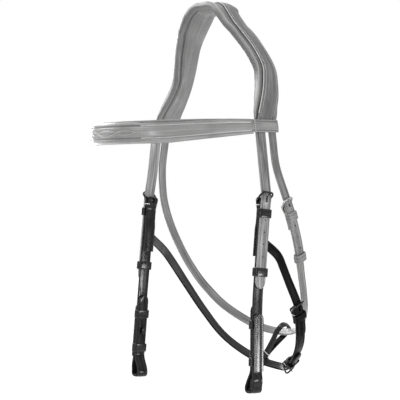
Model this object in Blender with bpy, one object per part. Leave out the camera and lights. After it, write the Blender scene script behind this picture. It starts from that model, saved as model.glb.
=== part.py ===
"""Bitless bridle with hackamore cheekpieces, as worn. Metres, +Z up, the horse faces -Y.

The origin is on the underside of the crown pad, where it rests on the horse's poll.
Left is the horse's left, +X.
"""

import math

import bmesh
import bpy
import numpy as np

# Clearances, edges and the overrun of every cut
SEAT_GAP = 0.0003
EDGE_ROUND = 0.0006
CUT_OVERRUN = 0.003
STATION_STEP = 0.009
CROWN_STEP = 0.007

# Crown: a padded headpiece that rises from the browband to the poll and sweeps back behind the ears
CROWN_DROP = 0.1406
CROWN_SPREAD = 0.0926
CROWN_SWEEP = 0.0157
CROWN_WIDTH = 0.044
CROWN_STRAP_THICK = 0.0026
CROWN_PAD_THICK = 0.007
CROWN_PAD_END_THICK = 0.0032
CROWN_PAD_END_RISE = 0.0024
CROWN_ROLL_RISE = 0.0022
POLL_FLAT = 0.005
POLL_STRAIGHT = 0.012

# Browband: a flat strap with a loop at each end, and a padded front with two sewn channels
BROWBAND_BELOW_CROWN = 0.0009
BROWBAND_HEIGHT = 0.0145
BROWBAND_THICK = 0.0022
BROWBAND_REACH = 0.137
BROWBAND_DIP = 0.0027
BROWBAND_LOOP_PLAY = 0.001
BROWBAND_LOOP_END_PLAY = 0.0009
BROWBAND_CORNER = 0.0023
BROWBAND_LAP = 0.021
BROWBAND_FRONT_HEIGHT = 0.0262
BROWBAND_FRONT_END_HEIGHT = 0.0165
BROWBAND_FRONT_THICK = 0.0052
BROWBAND_FRONT_SET_BACK = 0.004

# Cheek billets, which are the split ends of the crown strap
BILLET_THICK = 0.0025
BILLET_TOP_OUTSIDE_CROWN = 0.0031
BILLET_TOP_Y = -0.0116
BILLET_KNEE_OUTSIDE_TOP = 0.0074
BILLET_KNEE_Y = -0.0121
BILLET_KNEE_BELOW_BROWBAND = 0.0485
BILLET_TIP = 0.0125

# Hackamore cheekpieces: the buckle bar below the browband, then the cheek line below the bar
CHEEK_WIDTH = 0.0145
CHEEK_THICK = 0.0026
CHEEK_BAR_OUTSIDE_KNEE = 0.0029
CHEEK_BAR_Y = -0.014
CHEEK_BAR_BELOW_BROWBAND = 0.0865
CHEEK_BEND_OUTSIDE_BAR = 0.001
CHEEK_BEND_Y = -0.0255
CHEEK_BEND_BELOW_BAR = 0.116
CHEEK_END_OUTSIDE_BEND = 0.0055
CHEEK_END_Y = -0.031
CHEEK_END_BELOW_BAR = 0.219
CHEEK_BEND_EASE = 0.016
FOLD_NECK = 0.010
JAW_ROOT_THICK = 0.0009
JAW_ROOT_ROOM = 0.014
LOOP_DEPTH = 0.0145
LOOP_CORNER = 0.004
TAIL_TIP = 0.010
PANEL_THICK = 0.002
PANEL_TIP = 0.008
UPPER_KEEPER_BELOW_BAR = 0.0145
KEEPER_HEIGHT = 0.010
KEEPER_THICK = 0.0015
KEEPER_CORNER = 0.0012
STUD_HEAD_LENGTH = 0.009
STUD_HEAD_WIDTH = 0.0042
STUD_HEAD_THICK = 0.0016
STUD_NECK_RADIUS = 0.0012
STUD_NECK_LENGTH = 0.0018

# Buckles and runners, then the cheek buckles' own sizes
FRAME_PLAY = 0.0004
FRAME_TILT = math.radians(44)
PRONG_ROOM = 0.0006
PRONG_LIFT = math.radians(12)
RUNNER_PLAY = 0.0005
CHEEK_WIRE = 0.0012
CHEEK_FRAME_LENGTH = 0.0133
CHEEK_PRONG = 0.0009

# Throat latch: a long strap from the horse's right to a buckle on the left. Its lowest place keeps
# these distances from the jaw strap's lowest place, which it is tied to.
THROAT_WIDTH = 0.011
THROAT_THICK = 0.0023
THROAT_OUTSIDE_BILLET = 0.00137
THROAT_TOP_Y = 0.0055
THROAT_BEHIND_JAW = 0.0023
THROAT_ABOVE_JAW = 0.0427
THROAT_BAR_BELOW_TOP = 0.0955
THROAT_BILLET_BELOW_BAR = 0.073
THROAT_FOLD_BACK = 0.028
THROAT_KEEPER_BELOW_BAR = 0.0125
THROAT_RUNNER_BELOW_BAR = 0.065
THROAT_WIRE = 0.0011
THROAT_FRAME_LENGTH = 0.0115
THROAT_PRONG = 0.0008

# Jaw strap: one strap from each cheekpiece, joined under the jaw by a stouter centre piece
JAW_WIDTH = 0.011
JAW_THICK = 0.0024
JAW_INSIDE_CHEEK = 0.0004
JAW_REACH = 0.1214
JAW_DROP = 0.1585
JAW_CENTRE_WIDTH = 0.013
JAW_CENTRE_THICK = 0.003
JAW_UPPER_BAR = 0.113
JAW_LOWER_BAR_FROM_MIDDLE = 0.0275
JAW_TURNS_INSIDE = 0.0055
JAW_TURNS_BACK = 2.5
JAW_TURNS_DOWN = 0.6
JAW_BILLET_BELOW_BAR = 0.040
JAW_FOLD_BACK = 0.020
JAW_KEEPER_BELOW_BAR = 0.0095
JAW_WIRE = 0.0011
JAW_FRAME_LENGTH = 0.0145
JAW_PRONG = 0.0008
JAW_KEEPER_HEIGHT = 0.008

# Connector loop, which holds the throat latch to the jaw strap
LINK_WIDTH = 0.008
LINK_THICK = 0.0018
LINK_SHIFT = 0.026
LINK_PLAY = 0.0018
LINK_NECK_HALF = 0.0016
LINK_NECK_LENGTH = 0.010

# Places down the cheek line, as shares of its length from the buckle bar, and lengths as shares of it
jaw_root_share = 0.2183
fold_back_share = 0.2910
runner_share = 0.3729
billet_tip_share = 0.4593
tail_tip_share = 0.5412
panel_top_share = 0.5866
panel_length_share = 0.3001
tail_keeper_share = 0.6457
stud_share = 0.7412
low_keeper_share = 0.8367
loop_close_share = 0.1228

# Shares of the other sizes. Crown rows: spread, sweep, drop, half of the pad's width, the crown
# strap's front edge and its rear edge, the last three as shares of CROWN_WIDTH.
crown_shares = (
    (0.238, -0.04, 0.023, 0.49, -0.06, 0.43),
    (0.316, -0.06, 0.074, 0.48, -0.07, 0.42),
    (0.437, 0.06, 0.176, 0.455, -0.09, 0.395),
    (0.526, 0.26, 0.247, 0.42, -0.10, 0.36),
    (0.651, 0.55, 0.355, 0.385, -0.08, 0.325),
    (0.746, 0.83, 0.462, 0.375, -0.08, 0.315),
    (0.822, 1.00, 0.571, 0.385, -0.09, 0.325),
    (0.869, 0.90, 0.679, 0.405, -0.12, 0.34),
    (0.921, 0.65, 0.786, 0.425, -0.17, 0.35),
    (0.964, 0.32, 0.893, 0.44, -0.24, 0.345),
    (1.000, 0.06, 1.000, 0.445, -0.33, 0.236),
)
poll_shares = (0.5, -0.06, 0.44)
# Throat latch rows: spread, and reach and drop from the browband to the lowest point
throat_shares = (
    (0.850, 0.000, 0.000),
    (0.880, -0.007, 0.070),
    (0.925, -0.006, 0.189),
    (0.975, 0.049, 0.309),
    (1.000, 0.112, 0.389),
    (0.996, 0.183, 0.469),
    (0.973, 0.261, 0.548),
    (0.930, 0.343, 0.628),
    (0.868, 0.436, 0.708),
    (0.787, 0.548, 0.787),
    (0.631, 0.721, 0.887),
    (0.340, 0.925, 0.976),
    (0.000, 1.000, 1.000),
)
# Jaw strap rows: spread, reach and drop from the cheekpiece to the lowest point
jaw_shares = (
    (1.000, 0.154, 0.091),
    (0.975, 0.250, 0.186),
    (0.920, 0.413, 0.375),
    (0.842, 0.568, 0.565),
    (0.690, 0.706, 0.754),
    (0.486, 0.820, 0.880),
    (0.236, 0.930, 0.970),
    (0.000, 1.000, 1.000),
)
# Outline of the padding's section, across and through, from its front edge round to the front again
pad_section_shares = (
    (-1.00, -0.45),
    (-0.93, -0.85),
    (-0.80, -1.00),
    (-0.68, -0.80),
    (-0.60, -0.62),
    (-0.42, -1.00),
    (0.42, -1.00),
    (0.84, -0.78),
    (1.00, -0.38),
    (0.96, -0.06),
)
browband_ridge_shares = (
    (-0.50, 0.30),
    (-0.47, 0.72),
    (-0.38, 0.92),
    (-0.29, 0.72),
    (-0.25, 0.55),
    (-0.17, 0.92),
    (0.00, 1.00),
    (0.17, 0.92),
    (0.25, 0.55),
    (0.29, 0.72),
    (0.38, 0.92),
    (0.47, 0.72),
    (0.50, 0.30),
)
tip_width_shares = ((0.0, 1.0), (0.45, 0.93), (0.75, 0.74), (0.93, 0.45), (1.0, 0.2))

# Levels and spreads that follow from the sizes above, each from the one it is tied to
BROWBAND_LEVEL = CROWN_DROP + BROWBAND_BELOW_CROWN
BILLET_TOP_SPREAD = CROWN_SPREAD + BILLET_TOP_OUTSIDE_CROWN
BILLET_KNEE_SPREAD = BILLET_TOP_SPREAD + BILLET_KNEE_OUTSIDE_TOP
BILLET_KNEE_DROP = BROWBAND_LEVEL + BILLET_KNEE_BELOW_BROWBAND
CHEEK_BAR_SPREAD = BILLET_KNEE_SPREAD + CHEEK_BAR_OUTSIDE_KNEE
CHEEK_BAR_DROP = BROWBAND_LEVEL + CHEEK_BAR_BELOW_BROWBAND
CHEEK_BEND_SPREAD = CHEEK_BAR_SPREAD + CHEEK_BEND_OUTSIDE_BAR
CHEEK_BEND_DROP = CHEEK_BAR_DROP + CHEEK_BEND_BELOW_BAR
CHEEK_END_SPREAD = CHEEK_BEND_SPREAD + CHEEK_END_OUTSIDE_BEND
CHEEK_END_DROP = CHEEK_BAR_DROP + CHEEK_END_BELOW_BAR
JAW_SPREAD = CHEEK_BAR_SPREAD - JAW_INSIDE_CHEEK
THROAT_TOP_SPREAD = BILLET_TOP_SPREAD + THROAT_OUTSIDE_BILLET
THROAT_SPREAD = THROAT_TOP_SPREAD / throat_shares[0][0]
# Lean of the browband's ends, which follow the slope of the billets
BROWBAND_LEAN = BILLET_KNEE_OUTSIDE_TOP / BILLET_KNEE_BELOW_BROWBAND

# Finishes: colour, roughness, metallic
GREY_LEATHER = ("grey_leather", (0.19, 0.19, 0.19), 0.45, 0.0)
GREY_LINING = ("grey_lining", (0.22, 0.22, 0.22), 0.6, 0.0)
BLACK_LEATHER = ("black_leather", (0.012, 0.012, 0.012), 0.35, 0.0)
DARK_METAL = ("dark_metal", (0.06, 0.06, 0.06), 0.25, 1.0)
GREY_METAL = ("grey_metal", (0.30, 0.30, 0.30), 0.3, 1.0)


def unit(vectors):
    return vectors / np.linalg.norm(vectors, axis=-1, keepdims=True)


def smooth_curve(points, parts=16):
    """A Catmull-Rom curve through the points, with the same number of parts in each span."""
    points = np.array(points, float)
    first = 2 * points[0] - points[1]
    last = 2 * points[-1] - points[-2]
    padded = np.vstack([first, points, last])
    t = np.linspace(0, 1, parts, endpoint=False)[:, None]
    spans = []
    for before, start, end, after in zip(padded, padded[1:], padded[2:], padded[3:]):
        spans.append(
            0.5
            * (
                2 * start
                + (end - before) * t
                + (2 * before - 5 * start + 4 * end - after) * t**2
                + (3 * start - before - 3 * end + after) * t**3
            )
        )
    return np.vstack(spans + [points[-1:]])


class Route:
    """A line in space with an outward direction at each place along it."""

    def __init__(self, points, outward):
        self.points = np.array(points, float)
        steps = np.linalg.norm(np.diff(self.points, axis=0), axis=1)
        self.along = np.concatenate([[0], np.cumsum(steps)])
        self.length = self.along[-1]
        self.tangent = unit(np.gradient(self.points, self.along, axis=0))
        guide = outward(self.points)
        flat = guide - (guide * self.tangent).sum(1, keepdims=True) * self.tangent
        self.out = unit(flat)

    def at(self, values, along):
        return np.stack([np.interp(along, self.along, column) for column in values.T], -1)

    def place(self, along, out, across):
        """World points for distances along the line, outward and across. Past its ends it is straight."""
        along, out, across = np.broadcast_arrays(*(np.asarray(v, float) for v in (along, out, across)))
        inside = np.clip(along, 0, self.length)
        tangent = unit(self.at(self.tangent, inside))
        normal = self.at(self.out, inside)
        normal = unit(normal - (normal * tangent).sum(-1, keepdims=True) * tangent)
        side = np.cross(normal, tangent)
        base = self.at(self.points, inside) + (along - inside)[..., None] * tangent
        return base + out[..., None] * normal + across[..., None] * side

    def nearest(self, point):
        return self.along[np.argmin(np.linalg.norm(self.points - np.array(point), axis=1))]


def from_place(route, start, heading=1):
    """The route's own coordinates counted from start, in the direction of heading."""
    return lambda along, out, across: route.place(
        start + heading * np.asarray(along, float), out, heading * np.asarray(across, float)
    )


def stations(start, end, step=STATION_STEP):
    """Even distances from start to end, no further apart than step."""
    count = max(2, int(math.ceil(abs(end - start) / step)) + 1)
    return np.linspace(start, end, count)


def arc(centre, radius, start, end, count):
    """Points (along, out) on a circle, with the angle 0 towards -along and 90 degrees towards +out."""
    angles = np.radians(np.linspace(start, end, count))
    return np.stack([centre[0] - radius * np.cos(angles), centre[1] + radius * np.sin(angles)], -1)


def strap_section(half_width, low, high):
    """Across and through points of a strap with its corners taken off."""
    edge = np.minimum(EDGE_ROUND, 0.4 * np.minimum(half_width, (high - low) / 2))
    return np.stack(
        [
            np.stack([-half_width + edge, low], -1),
            np.stack([half_width - edge, low], -1),
            np.stack([half_width, low + edge], -1),
            np.stack([half_width, high - edge], -1),
            np.stack([half_width - edge, high], -1),
            np.stack([-half_width + edge, high], -1),
            np.stack([-half_width, high - edge], -1),
            np.stack([-half_width, low + edge], -1),
        ],
        1,
    )


def path_normals(path, closed=False):
    if closed:
        tangent = np.roll(path, -1, 0) - np.roll(path, 1, 0)
    else:
        tangent = np.gradient(path, axis=0)
    tangent = unit(tangent)
    return np.stack([tangent[:, 1], -tangent[:, 0]], -1)


def ribbon_rings(place, path, half_width, thickness):
    """Rings of a strap whose side view is the path of (along, out) points, centred in its thickness."""
    path = np.array(path, float)
    half_width = np.broadcast_to(half_width, len(path)).astype(float)
    half = np.broadcast_to(np.asarray(thickness, float) / 2, len(path)).astype(float)
    normal = path_normals(path)
    section = strap_section(half_width, -half, half)
    offset = section[:, :, 1]
    along = path[:, None, 0] + offset * normal[:, None, 0]
    out = path[:, None, 1] + offset * normal[:, None, 1]
    return place(along, out, section[:, :, 0])


def tip_stations(end, tip, heading=1):
    """Distances and width shares for the rounded point of a strap that ends at end."""
    shares = np.array(tip_width_shares)
    return end - heading * tip * (1 - shares[:, 0]), shares[:, 1]


def pointed(start, end, tip, half_width, step=STATION_STEP):
    """Distances and half widths of a straight strap with a point at its end."""
    heading = 1 if end > start else -1
    ends, widths = tip_stations(end, tip, heading)
    body = stations(start, ends[0], step)[:-1]
    return np.concatenate([body, ends]), half_width * np.concatenate([np.ones(len(body)), widths])


def skin(rings, closed=False):
    """Points and faces that join each ring of points to the next, with flat ends unless it closes."""
    count, size = rings.shape[:2]
    faces = []
    for ring in range(count if closed else count - 1):
        here, there = ring * size, (ring + 1) % count * size
        for k in range(size):
            after = (k + 1) % size
            faces.append((here + k, here + after, there + after, there + k))
    if not closed:
        faces.append(tuple(range(size)))
        faces.append(tuple(range((count - 1) * size, count * size)))
    return rings.reshape(-1, 3), faces


def finish_material(finish):
    name, colour, roughness, metallic = finish
    material = bpy.data.materials.get(name)
    if material is None:
        material = bpy.data.materials.new(name)
        material.use_nodes = True
        shader = material.node_tree.nodes["Principled BSDF"]
        shader.inputs["Base Color"].default_value = (*colour, 1)
        shader.inputs["Roughness"].default_value = roughness
        shader.inputs["Metallic"].default_value = metallic
    return material


def add_group(name, place=(0, 0, 0)):
    group = bpy.data.objects.new(name, None)
    group.location = place
    bpy.context.scene.collection.objects.link(group)
    return group


def add_piece(name, shape, finish, group, pivot=None, side=1):
    """One solid from points and faces in world places. side -1 mirrors it to the horse's right."""
    points, faces = shape
    mirror = np.array([side, 1, 1])
    origin = np.array(group.location) if pivot is None else np.array(pivot) * mirror
    mesh = bpy.data.meshes.new(name)
    mesh.from_pydata((points * mirror - origin).tolist(), [], faces)
    work = bmesh.new()
    work.from_mesh(mesh)
    bmesh.ops.recalc_face_normals(work, faces=work.faces)
    work.to_mesh(mesh)
    work.free()
    mesh.materials.append(finish_material(finish))
    mesh.shade_smooth()
    mesh.set_sharp_from_angle(angle=math.radians(50))
    piece = bpy.data.objects.new(name, mesh)
    piece.parent = group
    piece.location = origin - np.array(group.location)
    bpy.context.scene.collection.objects.link(piece)
    return piece


def cut_box(piece, place, along, out, across, side=1):
    """Cuts the box between these (low, high) pairs of route coordinates out of the piece."""
    corners = [(a, o, c) for a in along for o in out for c in across]
    points = np.array([place(*corner) for corner in corners]) * np.array([side, 1, 1])
    mesh = bpy.data.meshes.new(piece.name + "_slot")
    faces = [(0, 1, 3, 2), (4, 6, 7, 5), (0, 4, 5, 1), (2, 3, 7, 6), (0, 2, 6, 4), (1, 5, 7, 3)]
    mesh.from_pydata(points.tolist(), [], faces)
    work = bmesh.new()
    work.from_mesh(mesh)
    bmesh.ops.recalc_face_normals(work, faces=work.faces)
    work.to_mesh(mesh)
    work.free()
    cutter = bpy.data.objects.new(piece.name + "_slot", mesh)
    cutter.hide_render = True
    cutter.display_type = "WIRE"
    bpy.context.scene.collection.objects.link(cutter)
    modifier = piece.modifiers.new("slot", "BOOLEAN")
    modifier.operation = "DIFFERENCE"
    modifier.solver = "EXACT"
    modifier.object = cutter


def keeper_shape(place, centre, height, half_width, low, high, opens=None):
    """A leather keeper round the box of this half width between low and high. opens is the side,
    "low" or "high", where its ends run into a seam."""
    half = KEEPER_THICK / 2
    reach = half_width + half
    bottom, top = low - half, high + half
    corner = KEEPER_CORNER + half
    turns = np.radians([0, 45, 90])
    path = []
    corners = ((reach, top), (-reach, top), (-reach, bottom), (reach, bottom))
    for quarter, (across, out) in enumerate(corners):
        centre_across = across - math.copysign(corner, across)
        centre_out = out - corner if out == top else out + corner
        for turn in turns + math.pi / 2 * quarter:
            path.append((centre_across + corner * math.cos(turn), centre_out + corner * math.sin(turn)))
    path = np.array(path)
    if opens == "low":
        path = np.vstack([(reach, low), path[:6], (-reach, low)])
    elif opens == "high":
        path = np.vstack([(-reach, high), path[6:], (reach, high)])
    normal = path_normals(path, closed=opens is None)
    rise = height / 2
    bevel = min(EDGE_ROUND, half)
    right_edge = [(rise, -half), (rise, half - bevel), (rise - bevel, half)]
    left_edge = [(bevel - rise, half), (-rise, half - bevel), (-rise, -half)]
    section = np.array(left_edge[2:] + right_edge + left_edge[:2])
    across = path[:, None, 0] + section[None, :, 1] * normal[:, None, 0]
    out = path[:, None, 1] + section[None, :, 1] * normal[:, None, 1]
    along = np.broadcast_to(centre + section[None, :, 0], across.shape)
    return skin(place(along, out, across), closed=opens is None)


def rod_shape(world, radius, guide, closed=False, sides=6):
    """A round rod along world points. guide is a direction that the rod never runs along."""
    world = np.array(world, float)
    radius = np.broadcast_to(radius, len(world)).astype(float)
    if closed:
        tangent = unit(np.roll(world, -1, 0) - np.roll(world, 1, 0))
    else:
        tangent = unit(np.gradient(world, axis=0))
    first = unit(np.cross(tangent, guide))
    second = np.cross(tangent, first)
    turns = np.linspace(0, 2 * math.pi, sides, endpoint=False)[None, :, None]
    ring = np.cos(turns) * first[:, None] + np.sin(turns) * second[:, None]
    return skin(world[:, None] + radius[:, None, None] * ring, closed)


def frame_directions(place):
    """The local directions up the strap, outward and across at a buckle's bar, as world vectors."""
    base = place(0.0, 0.0, 0.0)
    small = SEAT_GAP
    up = unit(base - place(small, 0.0, 0.0))
    out = unit(place(0.0, small, 0.0) - base)
    across = unit(place(0.0, 0.0, small) - base)
    return up, out, across


def add_buckle(name, place, bar_out, inner_half, wire, length, prong, metal, group, side=1):
    """A bridle buckle: a rounded frame that stands out from the strap, and a prong hinged on its bar."""
    up, out, across = frame_directions(place)
    bar = place(0.0, bar_out, 0.0)
    lean = math.cos(FRAME_TILT) * up + math.sin(FRAME_TILT) * out
    rise = -math.sin(FRAME_TILT) * up + math.cos(FRAME_TILT) * out
    half = inner_half + wire
    bar_corner = 1.6 * wire
    top_corner = 0.55 * half
    outline = []
    for centre_up, centre_across, corner, start in (
        (bar_corner, half - bar_corner, bar_corner, -90),
        (length - top_corner, half - top_corner, top_corner, 0),
        (length - top_corner, top_corner - half, top_corner, 90),
        (bar_corner, bar_corner - half, bar_corner, 180),
    ):
        for angle in np.radians(np.linspace(start, start + 90, 4)):
            outline.append((centre_up + corner * math.sin(angle), centre_across + corner * math.cos(angle)))
    outline = np.array(outline)
    frame = bar + outline[:, :1] * lean + outline[:, 1:] * across
    add_piece(name + "_frame", rod_shape(frame, wire, rise, closed=True), metal, group, side=side)
    eye = wire + SEAT_GAP + prong
    turns = np.radians(np.linspace(350, 90, 11))[:, None]
    ring = bar + eye * (np.cos(turns) * lean + np.sin(turns) * rise)
    reach = np.linspace(0, length + wire + prong, 5)[1:, None]
    stem = bar + eye * rise + reach * lean
    path = np.vstack([ring, stem])
    taper = np.concatenate([np.full(len(ring), prong), prong * np.linspace(1.0, 0.6, len(stem))])
    add_piece(name + "_prong", rod_shape(path, taper, across), metal, group, pivot=bar, side=side)


def prong_room(bar_out, wire, prong, low, high):
    """Distances along the strap that the prong sweeps between low and high, from rest to fully lifted."""
    reach = []
    for angle in (FRAME_TILT, FRAME_TILT + PRONG_LIFT):
        for level in (low, high):
            offset = wire + SEAT_GAP + prong
            travel = (level - bar_out - offset * math.cos(angle)) / math.sin(angle)
            reach.append(offset * math.sin(angle) - travel * math.cos(angle))
    side_room = prong / math.sin(FRAME_TILT) + PRONG_ROOM
    return min(reach) - side_room, max(reach) + side_room


def fold_path(bar_out, thickness, wire, fold_back, neck, room_from, room):
    """Side view of a strap folded round a buckle's bar, from the end of its inner layer to the bar.
    The inner layer stands off by room past room_from, where another strap is sewn in."""
    radius = wire + SEAT_GAP + thickness / 2
    tight = -(thickness + SEAT_GAP)
    points = [(a, tight - room) for a in stations(fold_back, room_from, STATION_STEP)] if room else []
    start = room_from - neck if room else fold_back
    points += [(a, tight) for a in stations(start, neck, STATION_STEP)]
    points.append((neck / 2, (tight + bar_out - radius) / 2))
    return points + arc((0, bar_out), radius, -90, 90, 9).tolist()


def side_outward(points):
    return np.tile([1.0, 0.0, 0.0], (len(points), 1))


def cheek_route():
    """Down the outer layer of the left cheekpiece, from the buckle bar to the bottom of the loop."""
    top = np.array([CHEEK_BAR_SPREAD, CHEEK_BAR_Y, -CHEEK_BAR_DROP])
    bend = np.array([CHEEK_BEND_SPREAD, CHEEK_BEND_Y, -CHEEK_BEND_DROP])
    end = np.array([CHEEK_END_SPREAD, CHEEK_END_Y, -CHEEK_END_DROP])
    before = bend - CHEEK_BEND_EASE * unit(bend - top)
    after = bend + CHEEK_BEND_EASE * unit(end - bend)
    t = np.linspace(0, 1, 17)[:, None]
    eased = (1 - t) ** 2 * before + 2 * t * (1 - t) * bend + t**2 * after
    return Route(np.vstack([top, eased, end]), side_outward)


def crown_route():
    """Over the poll from the right browband loop to the left one, between the pad and the crown strap."""
    rows = [
        (CROWN_SPREAD * spread, CROWN_SWEEP * sweep, CROWN_PAD_THICK - CROWN_DROP * drop)
        for spread, sweep, drop, *_ in crown_shares
    ]
    foot = (BILLET_TOP_SPREAD - CROWN_STRAP_THICK / 2 - SEAT_GAP, rows[-1][1], -BROWBAND_LEVEL)
    straight = [(x, 0.0, CROWN_PAD_THICK) for x in (POLL_STRAIGHT, POLL_STRAIGHT / 2)]
    left = [foot] + rows[::-1] + straight
    right = [(-x, y, z) for x, y, z in left]
    points = smooth_curve(right + [(0.0, 0.0, CROWN_PAD_THICK)] + left[::-1], 8)

    def outward(places):
        return np.stack([places[:, 0], 0 * places[:, 1], places[:, 2] + CROWN_DROP], -1)

    return Route(points, outward)


def under_outward(spread, back_power=1.0, down_power=1.0):
    """Outward from the head: sideways at the cheeks, back and down under the jaw. The powers say how
    late on the way in it turns back, and how early down."""

    def outward(places):
        share = np.clip(np.abs(places[:, 0]) / spread, 0, 1)
        low = 1 - share**2
        aside = np.sign(places[:, 0]) * share
        return np.stack([aside, 0.62 * low**back_power, -0.78 * low**down_power], -1)

    return outward


def throat_route(jaw):
    """From the left browband loop, under the throat just above the jaw strap, to the right loop."""
    lowest = jaw.points[len(jaw.points) // 2] + [0, THROAT_BEHIND_JAW, THROAT_ABOVE_JAW]
    top = np.array([0, THROAT_TOP_Y, -BROWBAND_LEVEL])
    left = top + np.array(throat_shares) * ((lowest - top) + [THROAT_SPREAD, 0, 0])
    right = left[:-1][::-1] * [-1, 1, 1]
    return Route(smooth_curve(np.vstack([left, right])), under_outward(THROAT_TOP_SPREAD))


def jaw_route(cheek):
    """From between the layers of the left cheekpiece, under the jaw, to the right one."""
    seam = -(CHEEK_THICK / 2 + SEAT_GAP + JAW_ROOT_THICK / 2)
    below_bar = jaw_root_share * cheek.length
    root = cheek.place(below_bar, seam, CHEEK_WIDTH / 2)
    inside = cheek.place(below_bar - JAW_WIDTH / 2, seam, 0)
    left = [inside, root]
    for spread, reach, drop in jaw_shares:
        left.append((JAW_SPREAD * spread, root[1] + JAW_REACH * reach, root[2] - JAW_DROP * drop))
    right = [(-x, y, z) for x, y, z in left[:-1][::-1]]
    outward = under_outward(JAW_SPREAD - JAW_TURNS_INSIDE, JAW_TURNS_BACK, JAW_TURNS_DOWN)
    return Route(smooth_curve(left + right), outward)


def crown_rings(crown, along, out, across, end):
    """Rings of a layer of the crown, turned so that they lie level this far from its ends and below."""
    base = crown.place(along, 0, 0)[:, None]
    rise = (crown.place(along + SEAT_GAP, 0, 0)[:, None] - base)[..., 2:] / SEAT_GAP
    from_end = np.minimum(along, crown.length - along)[:, None, None] - end
    weight = np.clip(1 - from_end / CROWN_WIDTH, 0, 1) ** 2
    high = (crown.place(along[:, None], out, across) - base)[..., 2:]
    shift = -weight * high / np.where(weight > 0, rise, 1)
    return crown.place(along[:, None] + shift[..., 0], out, across)


def add_crown(group, crown):
    """The pad against the poll and the crown strap on it."""
    middle = crown.length / 2
    marks = []
    for spread, sweep, drop, *_ in crown_shares[::-1]:
        place = (-CROWN_SPREAD * spread, CROWN_SWEEP * sweep, CROWN_PAD_THICK - CROWN_DROP * drop)
        marks.append(crown.nearest(place))
    flat = [middle - POLL_STRAIGHT, middle + POLL_STRAIGHT]
    known = np.concatenate([marks, flat, (2 * middle - np.array(marks))[::-1]])
    table = np.array(crown_shares)[::-1, 3:]
    rows = CROWN_WIDTH * np.vstack([table, [poll_shares], [poll_shares], table[::-1]])

    def sizes(along):
        return [np.interp(along, known, column)[:, None] for column in rows.T]

    pad_end = marks[0] + CROWN_PAD_END_RISE
    rising = stations(pad_end, middle - POLL_FLAT, CROWN_STEP)
    along = np.concatenate([rising, 2 * middle - rising[::-1]])
    half, front, rear = sizes(along)
    from_end = np.minimum(along - along[0], along[-1] - along)[:, None]
    full = np.clip(1.6 * from_end / CROWN_WIDTH, 0, 1)
    half = half * (0.86 + 0.14 * np.clip(from_end / STATION_STEP, 0, 1))
    depth = CROWN_PAD_END_THICK + (CROWN_PAD_THICK - CROWN_PAD_END_THICK) * full
    shape = np.array(pad_section_shares)
    seam = front - SEAT_GAP - EDGE_ROUND
    roll = CROWN_ROLL_RISE * full
    under_strap = (rear, (rear + front) / 2, front, seam)
    on_roll = (seam - EDGE_ROUND, (seam - half) / 2, (seam - 5 * half) / 6)
    across = np.hstack([half * shape[:, 0], *under_strap, *on_roll])
    under = 0 * seam - SEAT_GAP
    out = np.hstack([depth * shape[:, 1], *[under] * 4, 0.75 * roll, roll, 0.25 * roll])
    add_piece("crown_pad", skin(crown_rings(crown, along, out, across, pad_end)), GREY_LINING, group)

    rising = np.concatenate([stations(0, pad_end)[:-1], rising])
    along = np.concatenate([rising, 2 * middle - rising[::-1]])
    _, front, rear = sizes(along)
    above = np.clip(np.minimum(along, 2 * middle - along) / marks[0], 0, 1)[:, None]
    foot_y = crown.points[0, 1]
    front = above * front + (1 - above) * (BILLET_TOP_Y - CHEEK_WIDTH / 2 - foot_y)
    rear = above * rear + (1 - above) * (THROAT_TOP_Y + THROAT_WIDTH / 2 - foot_y)
    level = np.full(len(along), SEAT_GAP)
    section = strap_section((rear - front)[:, 0] / 2, level, level + CROWN_STRAP_THICK)
    centre_line = np.stack([np.zeros((2, len(along))), [level, level + CROWN_STRAP_THICK]], -1)
    section = np.insert(section, [1, 5], centre_line.swapaxes(0, 1), axis=1)
    across = (rear + front) / 2 + section[:, :, 0]
    rings = crown_rings(crown, along, section[:, :, 1], across, pad_end)
    add_piece("crown_strap", skin(rings), GREY_LEATHER, group)


def browband_place(across, forward, up):
    """The browband's own coordinates: its ends lean in with the crown's straps, and it hangs lower in
    front, by the square of the way forward."""
    lean = 1 - BROWBAND_LEAN * up / BILLET_TOP_SPREAD
    dip = BROWBAND_DIP * (forward / BROWBAND_REACH) ** 2
    return np.stack([across * lean, forward, up - BROWBAND_LEVEL - dip], -1)


def browband_front_curve(angles, spread, reach, start):
    return np.stack([spread * np.cos(angles), start - reach * np.sin(angles)], -1)


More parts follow.
